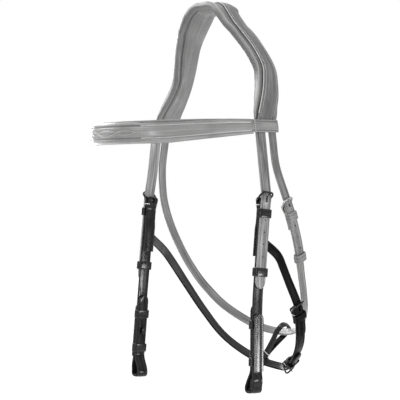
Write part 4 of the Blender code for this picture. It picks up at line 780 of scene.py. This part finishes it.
def foldPath(barOut, thickness, wireRadius, foldBack, neck, roomFrom=0.0, room=0.0):
    # side view of a strap folded round a bar: inner layer, a neck that closes in, and three quarters of a turn
    radius = wireRadius + seat + thickness / 2
    tight = -(thickness + seat)
    points = [(a, tight - room) for a in evenly(foldBack, roomFrom)] if room else []
    start = roomFrom - neck if room else foldBack
    if room:
        t = np.linspace(0, 1, 6)[1:-1]
        points += list(zip(roomFrom + (start - roomFrom) * t, tight - room * (1 - t * t * (3 - 2 * t))))
    points += [(a, tight) for a in evenly(start, neck)]
    points.append((neck / 2, (tight + barOut - radius) / 2))
    return points + arcPoints((0, barOut), radius, -90, 90, 25).tolist()


def keeperRings(place, centre, height, halfWidth, low, high, thickness, opens=None, corner=0.0012):
    # a band round a box: its path has rounded corners, its section is an oblong with rounded edges
    half = thickness / 2
    reach, bottom, top, corner = halfWidth + half, low - half, high + half, corner + half
    turns = np.radians(np.linspace(0, 90, 8))
    path = []
    for quarter, (across, out) in enumerate(((reach, top), (-reach, top), (-reach, bottom), (reach, bottom))):
        centreAcross = across - math.copysign(corner, across)
        centreOut = out - corner if out == top else out + corner
        turn = turns + math.pi / 2 * quarter
        path += zip(centreAcross + corner * np.cos(turn), centreOut + corner * np.sin(turn))
    path = np.array(path)
    if opens == "low":
        path = np.vstack([(reach, low), path[:16], (-reach, low)])
    elif opens == "high":
        path = np.vstack([(-reach, high), path[16:], (reach, high)])
    normal = pathNormals(path, closed=opens is None)
    rise, edge = height / 2, 0.42 * thickness
    turn = np.radians(np.linspace(0, 90, 5))
    right = np.stack([rise - edge + edge * np.sin(turn), half - edge + edge * np.cos(turn)], -1)
    middle = np.array([(-0.5 * rise, half * 1.06), (0, half * 1.1), (0.5 * rise, half * 1.06)])
    section = np.vstack([middle, right, right[::-1] * [1, -1], [(0, -half)], right * [-1, -1], right[::-1] * [-1, 1]])
    rim = np.clip(np.abs(section[:, 0]) - rise + edge, 0, edge) / edge
    across = path[:, None, 0] + section[None, :, 1] * normal[:, None, 0]
    out = path[:, None, 1] + section[None, :, 1] * normal[:, None, 1]
    along = np.broadcast_to(centre + section[None, :, 0], across.shape)
    return place(along, out, across), np.broadcast_to(rim, across.shape)


def addKeeper(name, node, place, centre, height, halfWidth, low, high, opens, material, body, slotName, side=1):
    rings, rim = keeperRings(place, centre, height, halfWidth, low, high, 0.0015, opens)
    return skinPiece(name, rings, rim=rim, closed=opens is None, material=materials[material], body=body, nodes=[node], slotName=slotName, side=side)


buckleLook = dict(tilt=math.radians(44), lift=math.radians(12), slack=0.0004)


def buckleDirections(place, barOut):
    base = place(0.0, 0.0, 0.0)
    up = unitVectors(base - place(seat, 0.0, 0.0))
    out = unitVectors(place(0.0, seat, 0.0) - base)
    across = unitVectors(place(0.0, 0.0, seat) - base)
    lean = math.cos(buckleLook["tilt"]) * up + math.sin(buckleLook["tilt"]) * out
    rise = -math.sin(buckleLook["tilt"]) * up + math.cos(buckleLook["tilt"]) * out
    return place(0.0, barOut, 0.0), lean, rise, across


def addBuckle(name, node, place, barOut, innerHalf, wireRadius, length, prong, material, prongBody, slotName, side=1):
    # frame: a rounded outline in the (lean, across) plane; prong: an open ring round the bar and a stem
    bar, lean, rise, across = buckleDirections(place, barOut)
    half = innerHalf + wireRadius
    barCorner, topCorner = 1.6 * wireRadius, 0.55 * half
    outline = []
    for centreUp, centreAcross, corner, start in (
        (barCorner, half - barCorner, barCorner, -90), (length - topCorner, half - topCorner, topCorner, 0),
        (length - topCorner, topCorner - half, topCorner, 90), (barCorner, barCorner - half, barCorner, 180),
    ):
        turn = np.radians(np.linspace(start, start + 90, 12))
        outline += zip(centreUp + corner * np.sin(turn), centreAcross + corner * np.cos(turn))
    outline = np.array(outline)
    world = bar + outline[:, :1] * lean + outline[:, 1:] * across
    skinPiece(name + "Frame", rodRings(world, wireRadius, rise, closed=True), closed=True, material=materials[material], body="headpiece", nodes=[node + "_frame"], slotName=slotName, side=side)
    eye = wireRadius + seat + prong
    turn = np.radians(np.linspace(350, 90, 30))[:, None]
    ring = bar + eye * (np.cos(turn) * lean + np.sin(turn) * rise)
    reach = np.linspace(0, length + wireRadius + prong, 16)[1:, None]
    path = np.vstack([ring, bar + eye * rise + reach * lean])
    taper = np.concatenate([np.full(len(ring), prong), prong * np.linspace(1.0, 0.62, len(reach))])
    taper = np.concatenate([taper[:-1], taper[-1:] * 0.75])
    skinPiece(name + "Prong", rodRings(path, taper, across), material=materials[material], body=prongBody, nodes=[node + "_prong"], slotName=slotName, side=side)


def prongRoom(barOut, wireRadius, prong, low, high):
    # the stretch of strap that the prong sweeps between two levels, from rest to fully lifted
    reach = []
    for angle in (buckleLook["tilt"], buckleLook["tilt"] + buckleLook["lift"]):
        for level in (low, high):
            offset = wireRadius + seat + prong
            travel = (level - barOut - offset * math.cos(angle)) / math.sin(angle)
            reach.append(offset * math.sin(angle) - travel * math.cos(angle))
    room = prong / math.sin(buckleLook["tilt"]) + 0.0006
    return min(reach) - room, max(reach) + room


def addWraps(name, places, half, high, low, body, slotName):
    # thread drawn round the edges of a folded strap: down each edge from the outer to the inner layer
    look = wrapLook
    drop = np.array([high - 0.0006, high - 0.0012, low + 0.0006, low, low - look["radius"], low - look["radius"]])
    reach = half + np.array([0.2, 1.0, 1.0, 0.8, -0.4, -4.0]) * look["radius"]
    for k, (place, along, side) in enumerate(places):
        for edge in (-1, 1):
            line = smoothCurve(np.stack([drop, edge * reach], -1), 4)
            world = place(along, line[:, 0], line[:, 1])
            guide = place(along + seat, 0.0, 0.0) - place(along, 0.0, 0.0)
            rings = rodRings(world, look["radius"], guide, sides=8)
            skinPiece(name + ("Front" if edge < 0 else "Rear") + (str(k) if k else ""), rings, material=materials["paleThread"], body=body, slotName=slotName, side=side)


wrapLook = dict(radius=0.0005)


def strapHoles(marks, low, high, radius=0.0009):
    return [(mark - radius, mark + radius, low, high, radius) for mark in marks]


billet = dict(thick=0.0025, below=0.101, tip=0.0125, frameLength=0.0133, holes=(0.022, 0.036, 0.050, 0.064))


def addBillet(side, name, node):
    level = cheekLine["thick"] / 2 + seat + billet["thick"] / 2
    onCheek = placeOn(cheek)
    points = [
        (billetTop["spread"], billetTop["y"], -browSizes["level"]),
        (billetTop["kneeSpread"], billetTop["kneeY"], -billetTop["kneeDrop"]),
    ]
    points += [tuple(onCheek(along, level, 0)) for along in np.linspace(-billet["frameLength"] / 2, billet["below"], 9)]
    route = makeRoute(smoothCurve(points, 20), sideways)
    along, share = pointed(2 * seat, route["length"], billet["tip"])
    section = strapSection(cheekLine["width"] / 2, billet["thick"])
    rings, rim = ribbonRings(placeOn(route), np.stack([along, 0 * along], -1), share, section)
    piece = skinPiece(name, rings, rim=rim, material=materials["billetLeather"], body="headpiece", nodes=[node], slotName="grey_leather", side=side)
    low, high = level - billet["thick"] / 2, level + billet["thick"] / 2
    barOut = -(cheekHardware["wire"] + seat + cheekLine["thick"] / 2)
    room = prongRoom(barOut, cheekHardware["wire"], cheekHardware["prong"], low, high)
    slots = [(room[0], room[1], low - 0.003, high + 0.003, cheekHardware["prong"] + 0.0006)]
    cutSlots(piece, onCheek, slots + strapHoles(billet["holes"], low - 0.0002, high + 0.003), side)


cheekHardware = dict(wire=0.0012, prong=0.0009, frameLength=0.0133)
cheekFold = dict(foldBack=0.064, neck=0.010, rootRoom=0.014, loopDepth=0.0145, loopCorner=0.004, loopClose=0.027, tailTip=0.119, tip=0.010, belly=0.0011, bellyFrom=0.196)
cheekBands = dict(height=0.010, upper=0.0145, runner=0.082, tail=0.142, low=0.184, play=0.0005)
cheekPanel = dict(top=0.129, length=0.066, thick=0.002, tip=0.008, rowFrom=0.0025, pitch=0.0021, dome=0.0006)
hookStud = dict(below=0.163, longHalf=0.0045, shortHalf=0.0021, thick=0.0016, neck=0.0012, neckLength=0.0018)


def cheekPath():
    thick, fold = cheekLine["thick"], cheekFold
    barOut = -(cheekHardware["wire"] + seat + thick / 2)
    top = foldPath(barOut, thick, cheekHardware["wire"], fold["foldBack"], fold["neck"], jawLine["root"] - fold["rootRoom"], jawLine["rootThick"] + seat)
    bottom, depth, corner = cheek["length"] - thick / 2, fold["loopDepth"] - thick, fold["loopCorner"]
    down = evenly(0, bottom - corner)[1:-1]
    belly = np.clip((down - fold["bellyFrom"]) / (bottom - corner - fold["bellyFrom"]), 0, 1)
    down = list(zip(down, fold["belly"] * np.sin(math.pi * belly) ** 2))
    outerTurn = arcPoints((bottom - corner, -corner), corner, 90, 180, 14)[:, :].tolist()
    innerTurn = arcPoints((bottom - corner, corner - depth), corner, 180, 270, 14).tolist()
    tight = -(thick + seat)
    s = np.linspace(0.1, 0.95, 12)
    closing = list(zip(bottom - corner - (fold["loopClose"] - corner) * s, -depth + (depth + tight) * s * s * (3 - 2 * s)))
    body = top + down + outerTurn + innerTurn + closing
    along, share = pointed(bottom - fold["loopClose"], fold["tailTip"], fold["tip"])
    return np.vstack([body, np.stack([along, 0 * along + tight], -1)]), np.concatenate([np.ones(len(body)), share])


def addCheekpiece(side, name, node):
    place = placeOn(cheek)
    half, face, thick = cheekLine["width"] / 2, cheekLine["thick"] / 2, cheekLine["thick"]
    path, share = cheekPath()
    common = dict(body="headpiece", side=side)
    rings, rim = ribbonRings(place, path, share, strapSection(half, thick))
    strap = skinPiece(name + "CheekStrap", rings, rim=rim, material=materials["strapShadedBlackLeather"], nodes=[node + "_cheek_strap"], slotName="black_leather", **common)
    wireRadius, prong = cheekHardware["wire"], cheekHardware["prong"]
    barOut = -(wireRadius + seat + face)
    slot = prong + 0.0006
    eye = wireRadius + seat + 2 * prong + 0.0006
    cutSlots(strap, place, [(2 * barOut - 0.003, eye, 2 * barOut - face - 0.003, face + 0.003, slot)], side)

    along, share = pointed(cheekPanel["top"] + cheekPanel["length"], cheekPanel["top"], cheekPanel["tip"])
    level = face + seat + cheekPanel["thick"] / 2
    rings, rim = ribbonRings(place, np.stack([along, 0 * along + level], -1), share, strapSection(half, cheekPanel["thick"], dome=cheekPanel["dome"], crease=0.0003, creaseFrom=0.0025), 1)
    skinPiece(name + "CheekPanel", rings, rim=rim, material=materials["panelLitBlackLeather"], nodes=[node + "_cheek_panel"], slotName="black_leather", **common)
    top = face + seat + cheekPanel["thick"]
    marks = evenly(cheekPanel["top"] + cheekPanel["tip"] * 0.8, cheekPanel["top"] + cheekPanel["length"] - 0.002, cheekPanel["pitch"])
    reach = half - cheekPanel["rowFrom"]
    rows = [beads(place, marks, top, s * reach, length=0.0011, radius=0.0005) for s in (-1, 1)]
    tipMarks = np.linspace(-0.75, 0.75, 5)
    rows.append(beads(place, cheekPanel["top"] + 0.0022 + cheekPanel["tip"] * 0.55 * tipMarks**2, top, reach * tipMarks * 0.95, angle=math.pi / 2 - 0.7 * tipMarks, length=0.0013))
    wrap = [beads(place, 0.0068, face + 0.0001, np.linspace(-0.7, 0.7, 5) * half, angle=math.pi / 2, length=0.0024)]
    beadPiece(name + "CheekStitching", rows + wrap, material=materials["paleThread"], slotName="black_leather", **common)

    addWraps(name + "CheekWrap", [(place, 0.0052, side)], half, face, 2 * barOut, "headpiece", "black_leather")
    billetFace = face + seat + billet["thick"]
    tailBack = -(face + seat + thick)
    snug, height = half + seat, cheekBands["height"]
    addKeeper(name + "UpperKeeper", node + "_upper_keeper", place, cheekBands["upper"], height, snug, -face, billetFace + seat, "low", "blackLeather", "headpiece", "black_leather", side)
    addKeeper(name + "TailKeeper", node + "_tail_keeper", place, cheekBands["tail"], height, snug, tailBack - seat, face, "high", "blackLeather", "headpiece", "black_leather", side)
    addKeeper(name + "LowKeeper", node + "_low_keeper", place, cheekBands["low"], height, snug, tailBack - seat, face, "high", "blackLeather", "headpiece", "black_leather", side)
    play = cheekBands["play"]
    addKeeper(name + "CheekRunner", node + "_cheek_runner", place, cheekBands["runner"], height, half + play, -face - play, billetFace + play, None, "blackLeather", node + "_cheek_runner", "black_leather", side)
    addBuckle(name + "Cheek", node + "_cheek", place, barOut, half + buckleLook["slack"], wireRadius, cheekHardware["frameLength"], prong, "darkMetal", node + "_cheek_prong", "dark_metal", side)

    # stud: rings of an oval that widens from the neck to the head and closes in over it
    stud = hookStud
    t = np.radians(np.linspace(-60, 84, 10))
    reach = np.concatenate([[0, 0.5, 1], stud["neckLength"] * 0 + np.zeros(0)])
    headOut = stud["neckLength"] + stud["thick"] * (0.5 + 0.5 * np.sin(t) / math.sin(math.radians(84)))
    longs = np.concatenate([[stud["neck"]] * 3, stud["longHalf"] * np.cos(t) ** 0.6])
    shorts = np.concatenate([[stud["neck"]] * 3, stud["shortHalf"] * np.cos(t) ** 0.6])
    outs = np.concatenate([stud["neckLength"] * np.array([0, 0.5, 0.98]), headOut])
    turn = np.linspace(0, 2 * math.pi, 28, endpoint=False)
    rings = place(stud["below"] + longs[:, None] * np.cos(turn), tailBack - seat - outs[:, None] + 0 * turn, shorts[:, None] * np.sin(turn))
    skinPiece(name + "HookStud", rings, material=materials["darkMetal"], nodes=[node + "_hook_stud"], slotName="dark_metal", **common)


for side, name in ((1, "left"), (-1, "right")):
    addBillet(side, name + "CheekBillet", name + "_cheek_billet")
    addCheekpiece(side, name, name)
print("cheekpieces made")

throatBuckle = dict(bar=0.0955, billetBelow=0.073, tip=0.0125, foldBack=0.028, neck=0.010, keeper=0.0125, runner=0.065, wire=0.0011, prong=0.0008, frameLength=0.0115, holes=(0.024, 0.038, 0.052))


def risingPath(start, end, tip, riseFrom, riseTo, level):
    # a billet that starts on the line and rises to level by a smooth step between two places
    along, share = pointed(start, end, tip)
    t = np.clip((along - riseFrom) / (riseTo - riseFrom), 0, 1)
    return np.stack([along, level * t * t * (3 - 2 * t)], -1), share


def addThroat():
    own = throatBuckle
    half, thick = throatLine["width"] / 2, throatLine["thick"]
    face, bar = thick / 2, own["bar"]
    place = placeOn(throat, bar)
    barOut = -(own["wire"] + seat + face)
    path = foldPath(barOut, thick, own["wire"], own["foldBack"], own["neck"])
    path += [(a, 0) for a in evenly(0, throat["length"] - bar - 2 * seat)[1:]]
    common = dict(body="headpiece", slotName="grey_leather")
    section = strapSection(half, thick, creaseFrom=0.0015, dome=0.0)
    rings, rim = ribbonRings(place, path, 1.0, section)
    strap = skinPiece("throatStrap", rings, rim=rim, material=materials["throatLeather"], nodes=["throat_strap"], **common)
    slot = own["prong"] + 0.0006
    eye = own["wire"] + seat + 2 * own["prong"] + 0.0006
    cutSlots(strap, place, [(2 * barOut - 0.003, eye, 2 * barOut - face - 0.003, face + 0.003, slot)])
    level = thick + seat
    path, share = risingPath(2 * seat, bar + own["billetBelow"], own["tip"], bar / 3, bar - own["frameLength"] / 2, level)
    rings, rim = ribbonRings(placeOn(throat), path, share, section)
    strap = skinPiece("leftThroatBillet", rings, rim=rim, material=materials["throatLeather"], nodes=["left_throat_billet"], **common)
    low, high = level - face, level + face
    room = prongRoom(barOut, own["wire"], own["prong"], low, high)
    cutSlots(strap, place, [(room[0], room[1], low - 0.003, high + 0.003, slot)] + strapHoles(own["holes"], low - 0.0002, high + 0.003))
    addKeeper("throatKeeper", "throat_keeper", place, own["keeper"], 0.010, half + seat, -face, high + seat, "low", "throatLeather", "headpiece", "grey_leather")
    play = cheekBands["play"]
    addKeeper("throatRunner", "throat_runner", place, own["runner"], 0.010, half + play, -face - play, high + play, None, "throatLeather", "throat_runner", "grey_leather")
    addWraps("throatWrap", [(place, 0.0075, 1)], half, face, -face - thick - seat, "headpiece", "grey_leather")
    addBuckle("throat", "throat", place, barOut, half + buckleLook["slack"], own["wire"], own["frameLength"], own["prong"], "greyMetal", "throat_prong", "grey_metal")


jawBuckles = dict(upper=0.113, lower=0.228, billetBelow=0.040, tip=0.0125, foldBack=0.020, neck=0.010, keeper=0.0095, keeperHeight=0.008, wire=0.0011, prong=0.0008, frameLength=0.0145, holes=(0.018, 0.027))


def showLitInnerFace(piece, shape):
    # the flat of the inner face, the same three faces of every ring, takes a lighter, shinier copy of the black
    # leather: painted light on that face
    piece.data.materials.append(materials["innerFaceLitBlackLeather"])
    within = np.arange((shape[0] - 1) * shape[1]) % shape[1]
    marks = np.concatenate([(within >= 31) & (within <= 33), [False, False]])
    piece.data.polygons.foreach_set("material_index", marks.astype(np.int32))


def addJaw():
    own = jawBuckles
    half, thick = jawLine["width"] / 2, jawLine["thick"]
    centreHalf, centreThick = jawLine["centreWidth"] / 2, jawLine["centreThick"]
    face = centreThick / 2
    barOut = -(own["wire"] + seat + face)
    upper, lower = own["upper"], own["lower"]
    common = dict(material=materials["jawShadedBlackLeather"], body="headpiece", slotName="black_leather")
    fold = np.array(foldPath(barOut, centreThick, own["wire"], own["foldBack"], own["neck"]))
    middle = evenly(upper, lower)[1:-1]
    path = np.vstack([fold + [upper, 0], np.stack([middle, 0 * middle], -1), (fold * [-1, 1] + [lower, 0])[::-1]])
    rings, rim = ribbonRings(placeOn(jaw), path, 1.0, strapSection(centreHalf, centreThick))
    centre = skinPiece("jawCentreStrap", rings, rim=rim, nodes=["jaw_centre_strap"], **common)
    slot = own["prong"] + 0.0006
    eye = own["wire"] + seat + 2 * own["prong"] + 0.0006
    level = face + seat + thick / 2
    low, high = level - thick / 2, level + thick / 2
    room = prongRoom(barOut, own["wire"], own["prong"], low, high)
    wraps = []
    for name, bar, heading in (("left", upper, 1), ("right", lower, -1)):
        place = placeOn(jaw, bar, heading)
        cutSlots(centre, place, [(2 * barOut - 0.003, eye, 2 * barOut - face - 0.003, face + 0.003, slot)])
        fromRoot = placeOn(jaw, 0 if heading == 1 else jaw["length"], heading)
        barFromRoot = bar if heading == 1 else jaw["length"] - bar
        risen = barFromRoot - own["frameLength"] / 3
        path, share = risingPath(0, barFromRoot + own["billetBelow"], own["tip"], risen - own["billetBelow"], risen, level)
        root = np.clip((path[:, 0] - cheekLine["width"]) / 0.009, 0, 1)[:, None]
        across, depth, rim = strapSection(half, thick, creaseFrom=0.0015)
        normal = -pathNormals(path)
        depth = depth * (jawLine["rootThick"] + (thick - jawLine["rootThick"]) * root) / thick
        rings = fromRoot(path[:, :1] + depth * normal[:, :1], path[:, 1:] + depth * normal[:, 1:], across * share[:, None])
        strap = skinPiece(name + "JawStrap", rings, rim=np.broadcast_to(rim, depth.shape), nodes=[name + "_jaw_strap"], **common)
        showLitInnerFace(strap, rings.shape)
        cutSlots(strap, place, [(room[0], room[1], low - 0.003, high + 0.003, slot)] + strapHoles(own["holes"], low - 0.0002, high + 0.003))
        addKeeper(name + "JawKeeper", name + "_jaw_keeper", place, own["keeper"], own["keeperHeight"], centreHalf + seat, -face, high + seat, "low", "jawShadedBlackLeather", "headpiece", "black_leather")
        addBuckle(name + "Jaw", name + "_jaw", place, barOut, centreHalf + buckleLook["slack"], own["wire"], own["frameLength"], own["prong"], "darkMetal", name + "_jaw_prong", "dark_metal")
        addWraps(name + "JawWrap", [(place, 0.0050, 1)], centreHalf, face, -face - centreThick - seat, "headpiece", "black_leather")
        wraps.append(beads(place, 0.0052, face + 0.0001, np.linspace(-0.7, 0.7, 5) * centreHalf, angle=math.pi / 2, length=0.0022))
    beadPiece("jawStitching", wraps, material=materials["paleThread"], body="headpiece", slotName="black_leather")


connector = dict(width=0.008, thick=0.0018, shift=0.026, play=0.0018, neckHalf=0.0016, neckLength=0.010, power=0.6, binding=0.0005)


def strapExtent(place, along, width, thick, direction, axis):
    base = place(along, 0, 0)
    out, across, tangent = (unitVectors(place(along + a, o, c) - base) for a, o, c in ((0, seat, 0), (0, 0, seat), (seat, 0, 0)))
    spread = connector["width"] / 2 * abs(tangent @ direction) / abs(tangent @ axis)
    return width / 2 * abs(across @ direction) + thick / 2 * abs(out @ direction) + spread


def addConnector():
    # a closed band round both straps: two super-ellipse ends of power 0.6, nipped to a neck between them
    own = connector
    throatPlace, jawPlace = placeOn(throat), placeOn(jaw)
    throatAlong = throat["length"] / 2
    rightHalf = jaw["along"] > jaw["length"] / 2
    jawAlong = jaw["along"][rightHalf][np.argmin(np.abs(jaw["points"][rightHalf, 0] + own["shift"]))]
    top, bottom = throatPlace(throatAlong, 0, 0), jawPlace(jawAlong, 0, 0)
    length = np.linalg.norm(bottom - top)
    down = (bottom - top) / length
    straps = ((throatPlace, throatAlong, throatLine["width"], throatLine["thick"]), (jawPlace, jawAlong, jawLine["width"], jawLine["thick"]))
    axes, reach = [], []
    for place, along, width, thick in straps:
        tangent = unitVectors(place(along + seat, 0, 0) - place(along, 0, 0))
        axes.append(-unitVectors(tangent - (tangent @ down) * down))
        side = np.cross(down, axes[-1])
        reach.append([1.15 * strapExtent(place, along, width, thick, way, axes[-1]) + own["play"] + own["thick"] / 2 for way in (down, side)])
    turn = np.radians(np.linspace(180, 75, 22))
    upper = np.stack([reach[0][0] * np.sign(np.cos(turn)) * np.abs(np.cos(turn)) ** own["power"], reach[0][1] * np.sin(turn) ** own["power"]], -1)
    turn = np.radians(np.linspace(115, 0, 22))
    lower = np.stack([reach[1][0] * np.sign(np.cos(turn)) * np.abs(np.cos(turn)) ** own["power"], reach[1][1] * np.abs(np.sin(turn)) ** own["power"]], -1)
    lower[:, 0] += length
    neckEnd = lower[0, 0] - own["neckLength"] / 4
    neck = np.array([(neckEnd - own["neckLength"], own["neckHalf"] * 1.3), (neckEnd - own["neckLength"] / 2, own["neckHalf"]), (neckEnd, own["neckHalf"] * 1.3)])
    half = np.vstack([upper, neck, lower])
    path = np.vstack([half, (half * [1, -1])[1:-1][::-1]])
    path = smoothCurve(path, 2, closed=True)
    share = np.clip(path[:, :1] / length, 0, 1)
    axis = unitVectors((1 - share) * axes[0] + share * axes[1])
    side = np.cross(down, axis)
    normal = -pathNormals(path, closed=True)
    across, depth, rim = strapSection(own["width"] / 2, own["thick"], creaseFrom=0.0012)
    travel = path[:, :1] + depth * normal[:, :1]
    offset = path[:, 1:] + depth * normal[:, 1:]
    rings = top + travel[..., None] * down + offset[..., None] * side[:, None] + across[:, None] * axis[:, None]
    skinPiece("connectorLoop", rings, rim=np.broadcast_to(rim, travel.shape), closed=True, material=materials["blackLeather"], body="connector", nodes=["connector_loop"], slotName="black_leather")
    # the binding round the neck: a rounded oblong of power 0.4 about the two halves of the band
    place = neckEnd - own["neckLength"] / 2
    share = place / length
    axis = unitVectors((1 - share) * axes[0] + share * axes[1])
    turn = np.linspace(0, 2 * math.pi, 40, endpoint=False)
    wide, deep = (np.sign(v) * np.abs(v) ** 0.4 for v in (np.cos(turn), np.sin(turn)))
    reach = own["neckHalf"] + own["thick"] / 2 + own["binding"], own["width"] / 2 + own["binding"]
    line = top + place * down + reach[0] * wide[:, None] * np.cross(down, axis) + reach[1] * deep[:, None] * axis
    skinPiece("connectorBinding", rodRings(line, own["binding"], down, closed=True, sides=8), closed=True, material=materials["paleThread"], body="connector", slotName="black_leather")


addThroat()
addJaw()
addConnector()
print("throat latch, jaw strap and connector made")

studio = dict(
    azimuth=50.0, centre=(0.0, -0.012, -0.219), distance=1.86, lens=139.5, shift=(-0.015, -0.0175),
    world=0.42, floorLevel=-0.75,
)
azimuth = math.radians(studio["azimuth"])
toCamera = np.array([math.sin(azimuth), -math.cos(azimuth), 0.0])
toRight = np.array([math.cos(azimuth), math.sin(azimuth), 0.0])
up = np.array([0.0, 0.0, 1.0])
centre = np.array(studio["centre"])


def aimed(obj, target):
    direction = Vector(target) - obj.location
    obj.rotation_euler = direction.to_track_quat("-Z", "Y").to_euler()


camera = bpy.data.objects.new("camera", bpy.data.cameras.new("camera"))
camera.data.lens = studio["lens"]
camera.data.sensor_width = 36.0
camera.data.shift_x, camera.data.shift_y = studio["shift"]
camera.data.clip_start = 0.05
camera.location = centre + studio["distance"] * toCamera
aimed(camera, centre)
bpy.context.scene.collection.objects.link(camera)
bpy.context.scene.camera = camera

lamps = {  # degrees to the camera's right and above level, metres away; width and height; watts
    "keyLamp": ((-45, 42, 1.8), (1.0, 1.0), 13.0),
    "topLamp": ((165, 70, 1.55), (1.0, 1.0), 3.5),
    "leftBox": ((-110, 32, 1.5), (0.9, 0.5), 11.0),
    "frontStrip": ((-22, 3, 1.7), (0.06, 0.5), 4.5),
    "rightStrip": ((63, -9.5, 1.5), (0.80, 0.14), 9.5),
    "backStrip": ((-160, 5, 1.5), (0.30, 1.0), 7.5),
    "backBox": ((-157, 35, 1.5), (0.6, 0.4), 7.5),
}
for name, ((around, above, away), (width, height), watts) in lamps.items():
    around, above = math.radians(around), math.radians(above)
    lamp = bpy.data.objects.new(name, bpy.data.lights.new(name, "AREA"))
    lamp.data.shape, lamp.data.size, lamp.data.size_y, lamp.data.energy = "RECTANGLE", width, height, watts
    level = math.cos(around) * toCamera + math.sin(around) * toRight
    lamp.location = centre + away * (math.cos(above) * level + math.sin(above) * up)
    aimed(lamp, centre)
    lamp.visible_camera = False
    bpy.context.scene.collection.objects.link(lamp)


def seenDirectly(tree):
    # 1 for camera, glossy and transmission rays, which see the white surroundings
    rays = wire(tree, "ShaderNodeLightPath").outputs
    return maths(tree, "MAXIMUM", maths(tree, "MAXIMUM", rays["Is Camera Ray"], rays["Is Glossy Ray"]), rays["Is Transmission Ray"])


world = bpy.data.worlds.new("paleStudio")
bpy.context.scene.world = world
world.use_nodes = True
tree = world.node_tree
background = tree.nodes["Background"]
background.inputs["Color"].default_value = (1, 1, 1, 1)
strength = ramped(tree, seenDirectly(tree), 0.0, 1.0, studio["world"], 1.0)
tree.links.new(strength, background.inputs["Strength"])


def paleFloor():
    # a disc of rings, r and angle, far below the bridle
    radius = np.linspace(0, 9.0, 13)[1:, None]
    turn = np.linspace(0, 2 * math.pi, 72, endpoint=False)
    points = np.stack([radius * np.cos(turn), radius * np.sin(turn), np.full((12, 72), studio["floorLevel"])], -1)
    mesh = bpy.data.meshes.new("paleFloor")
    i, k = np.arange(11)[:, None], np.arange(72)[None]
    quads = np.stack([i * 72 + k, (i + 1) * 72 + k, (i + 1) * 72 + (k + 1) % 72, i * 72 + (k + 1) % 72], -1)
    mesh.from_pydata(points.reshape(-1, 3).tolist(), [], quads.reshape(-1, 4).tolist() + [list(range(72))])
    material = bpy.data.materials.new("paleFloor")
    material.use_nodes = True
    tree = material.node_tree
    shader = tree.nodes["Principled BSDF"]
    shader.inputs["Base Color"].default_value = (0.86, 0.86, 0.86, 1)
    shader.inputs["Roughness"].default_value = 0.9
    shader.inputs["Emission Color"].default_value = (1, 1, 1, 1)
    tree.links.new(maths(tree, "MULTIPLY", seenDirectly(tree), 0.66), shader.inputs["Emission Strength"])
    mesh.materials.append(material)
    floor = bpy.data.objects.new("paleFloor", mesh)
    bpy.context.scene.collection.objects.link(floor)


paleFloor()
bpy.context.scene.view_settings.view_transform = "Standard"
print("studio set")
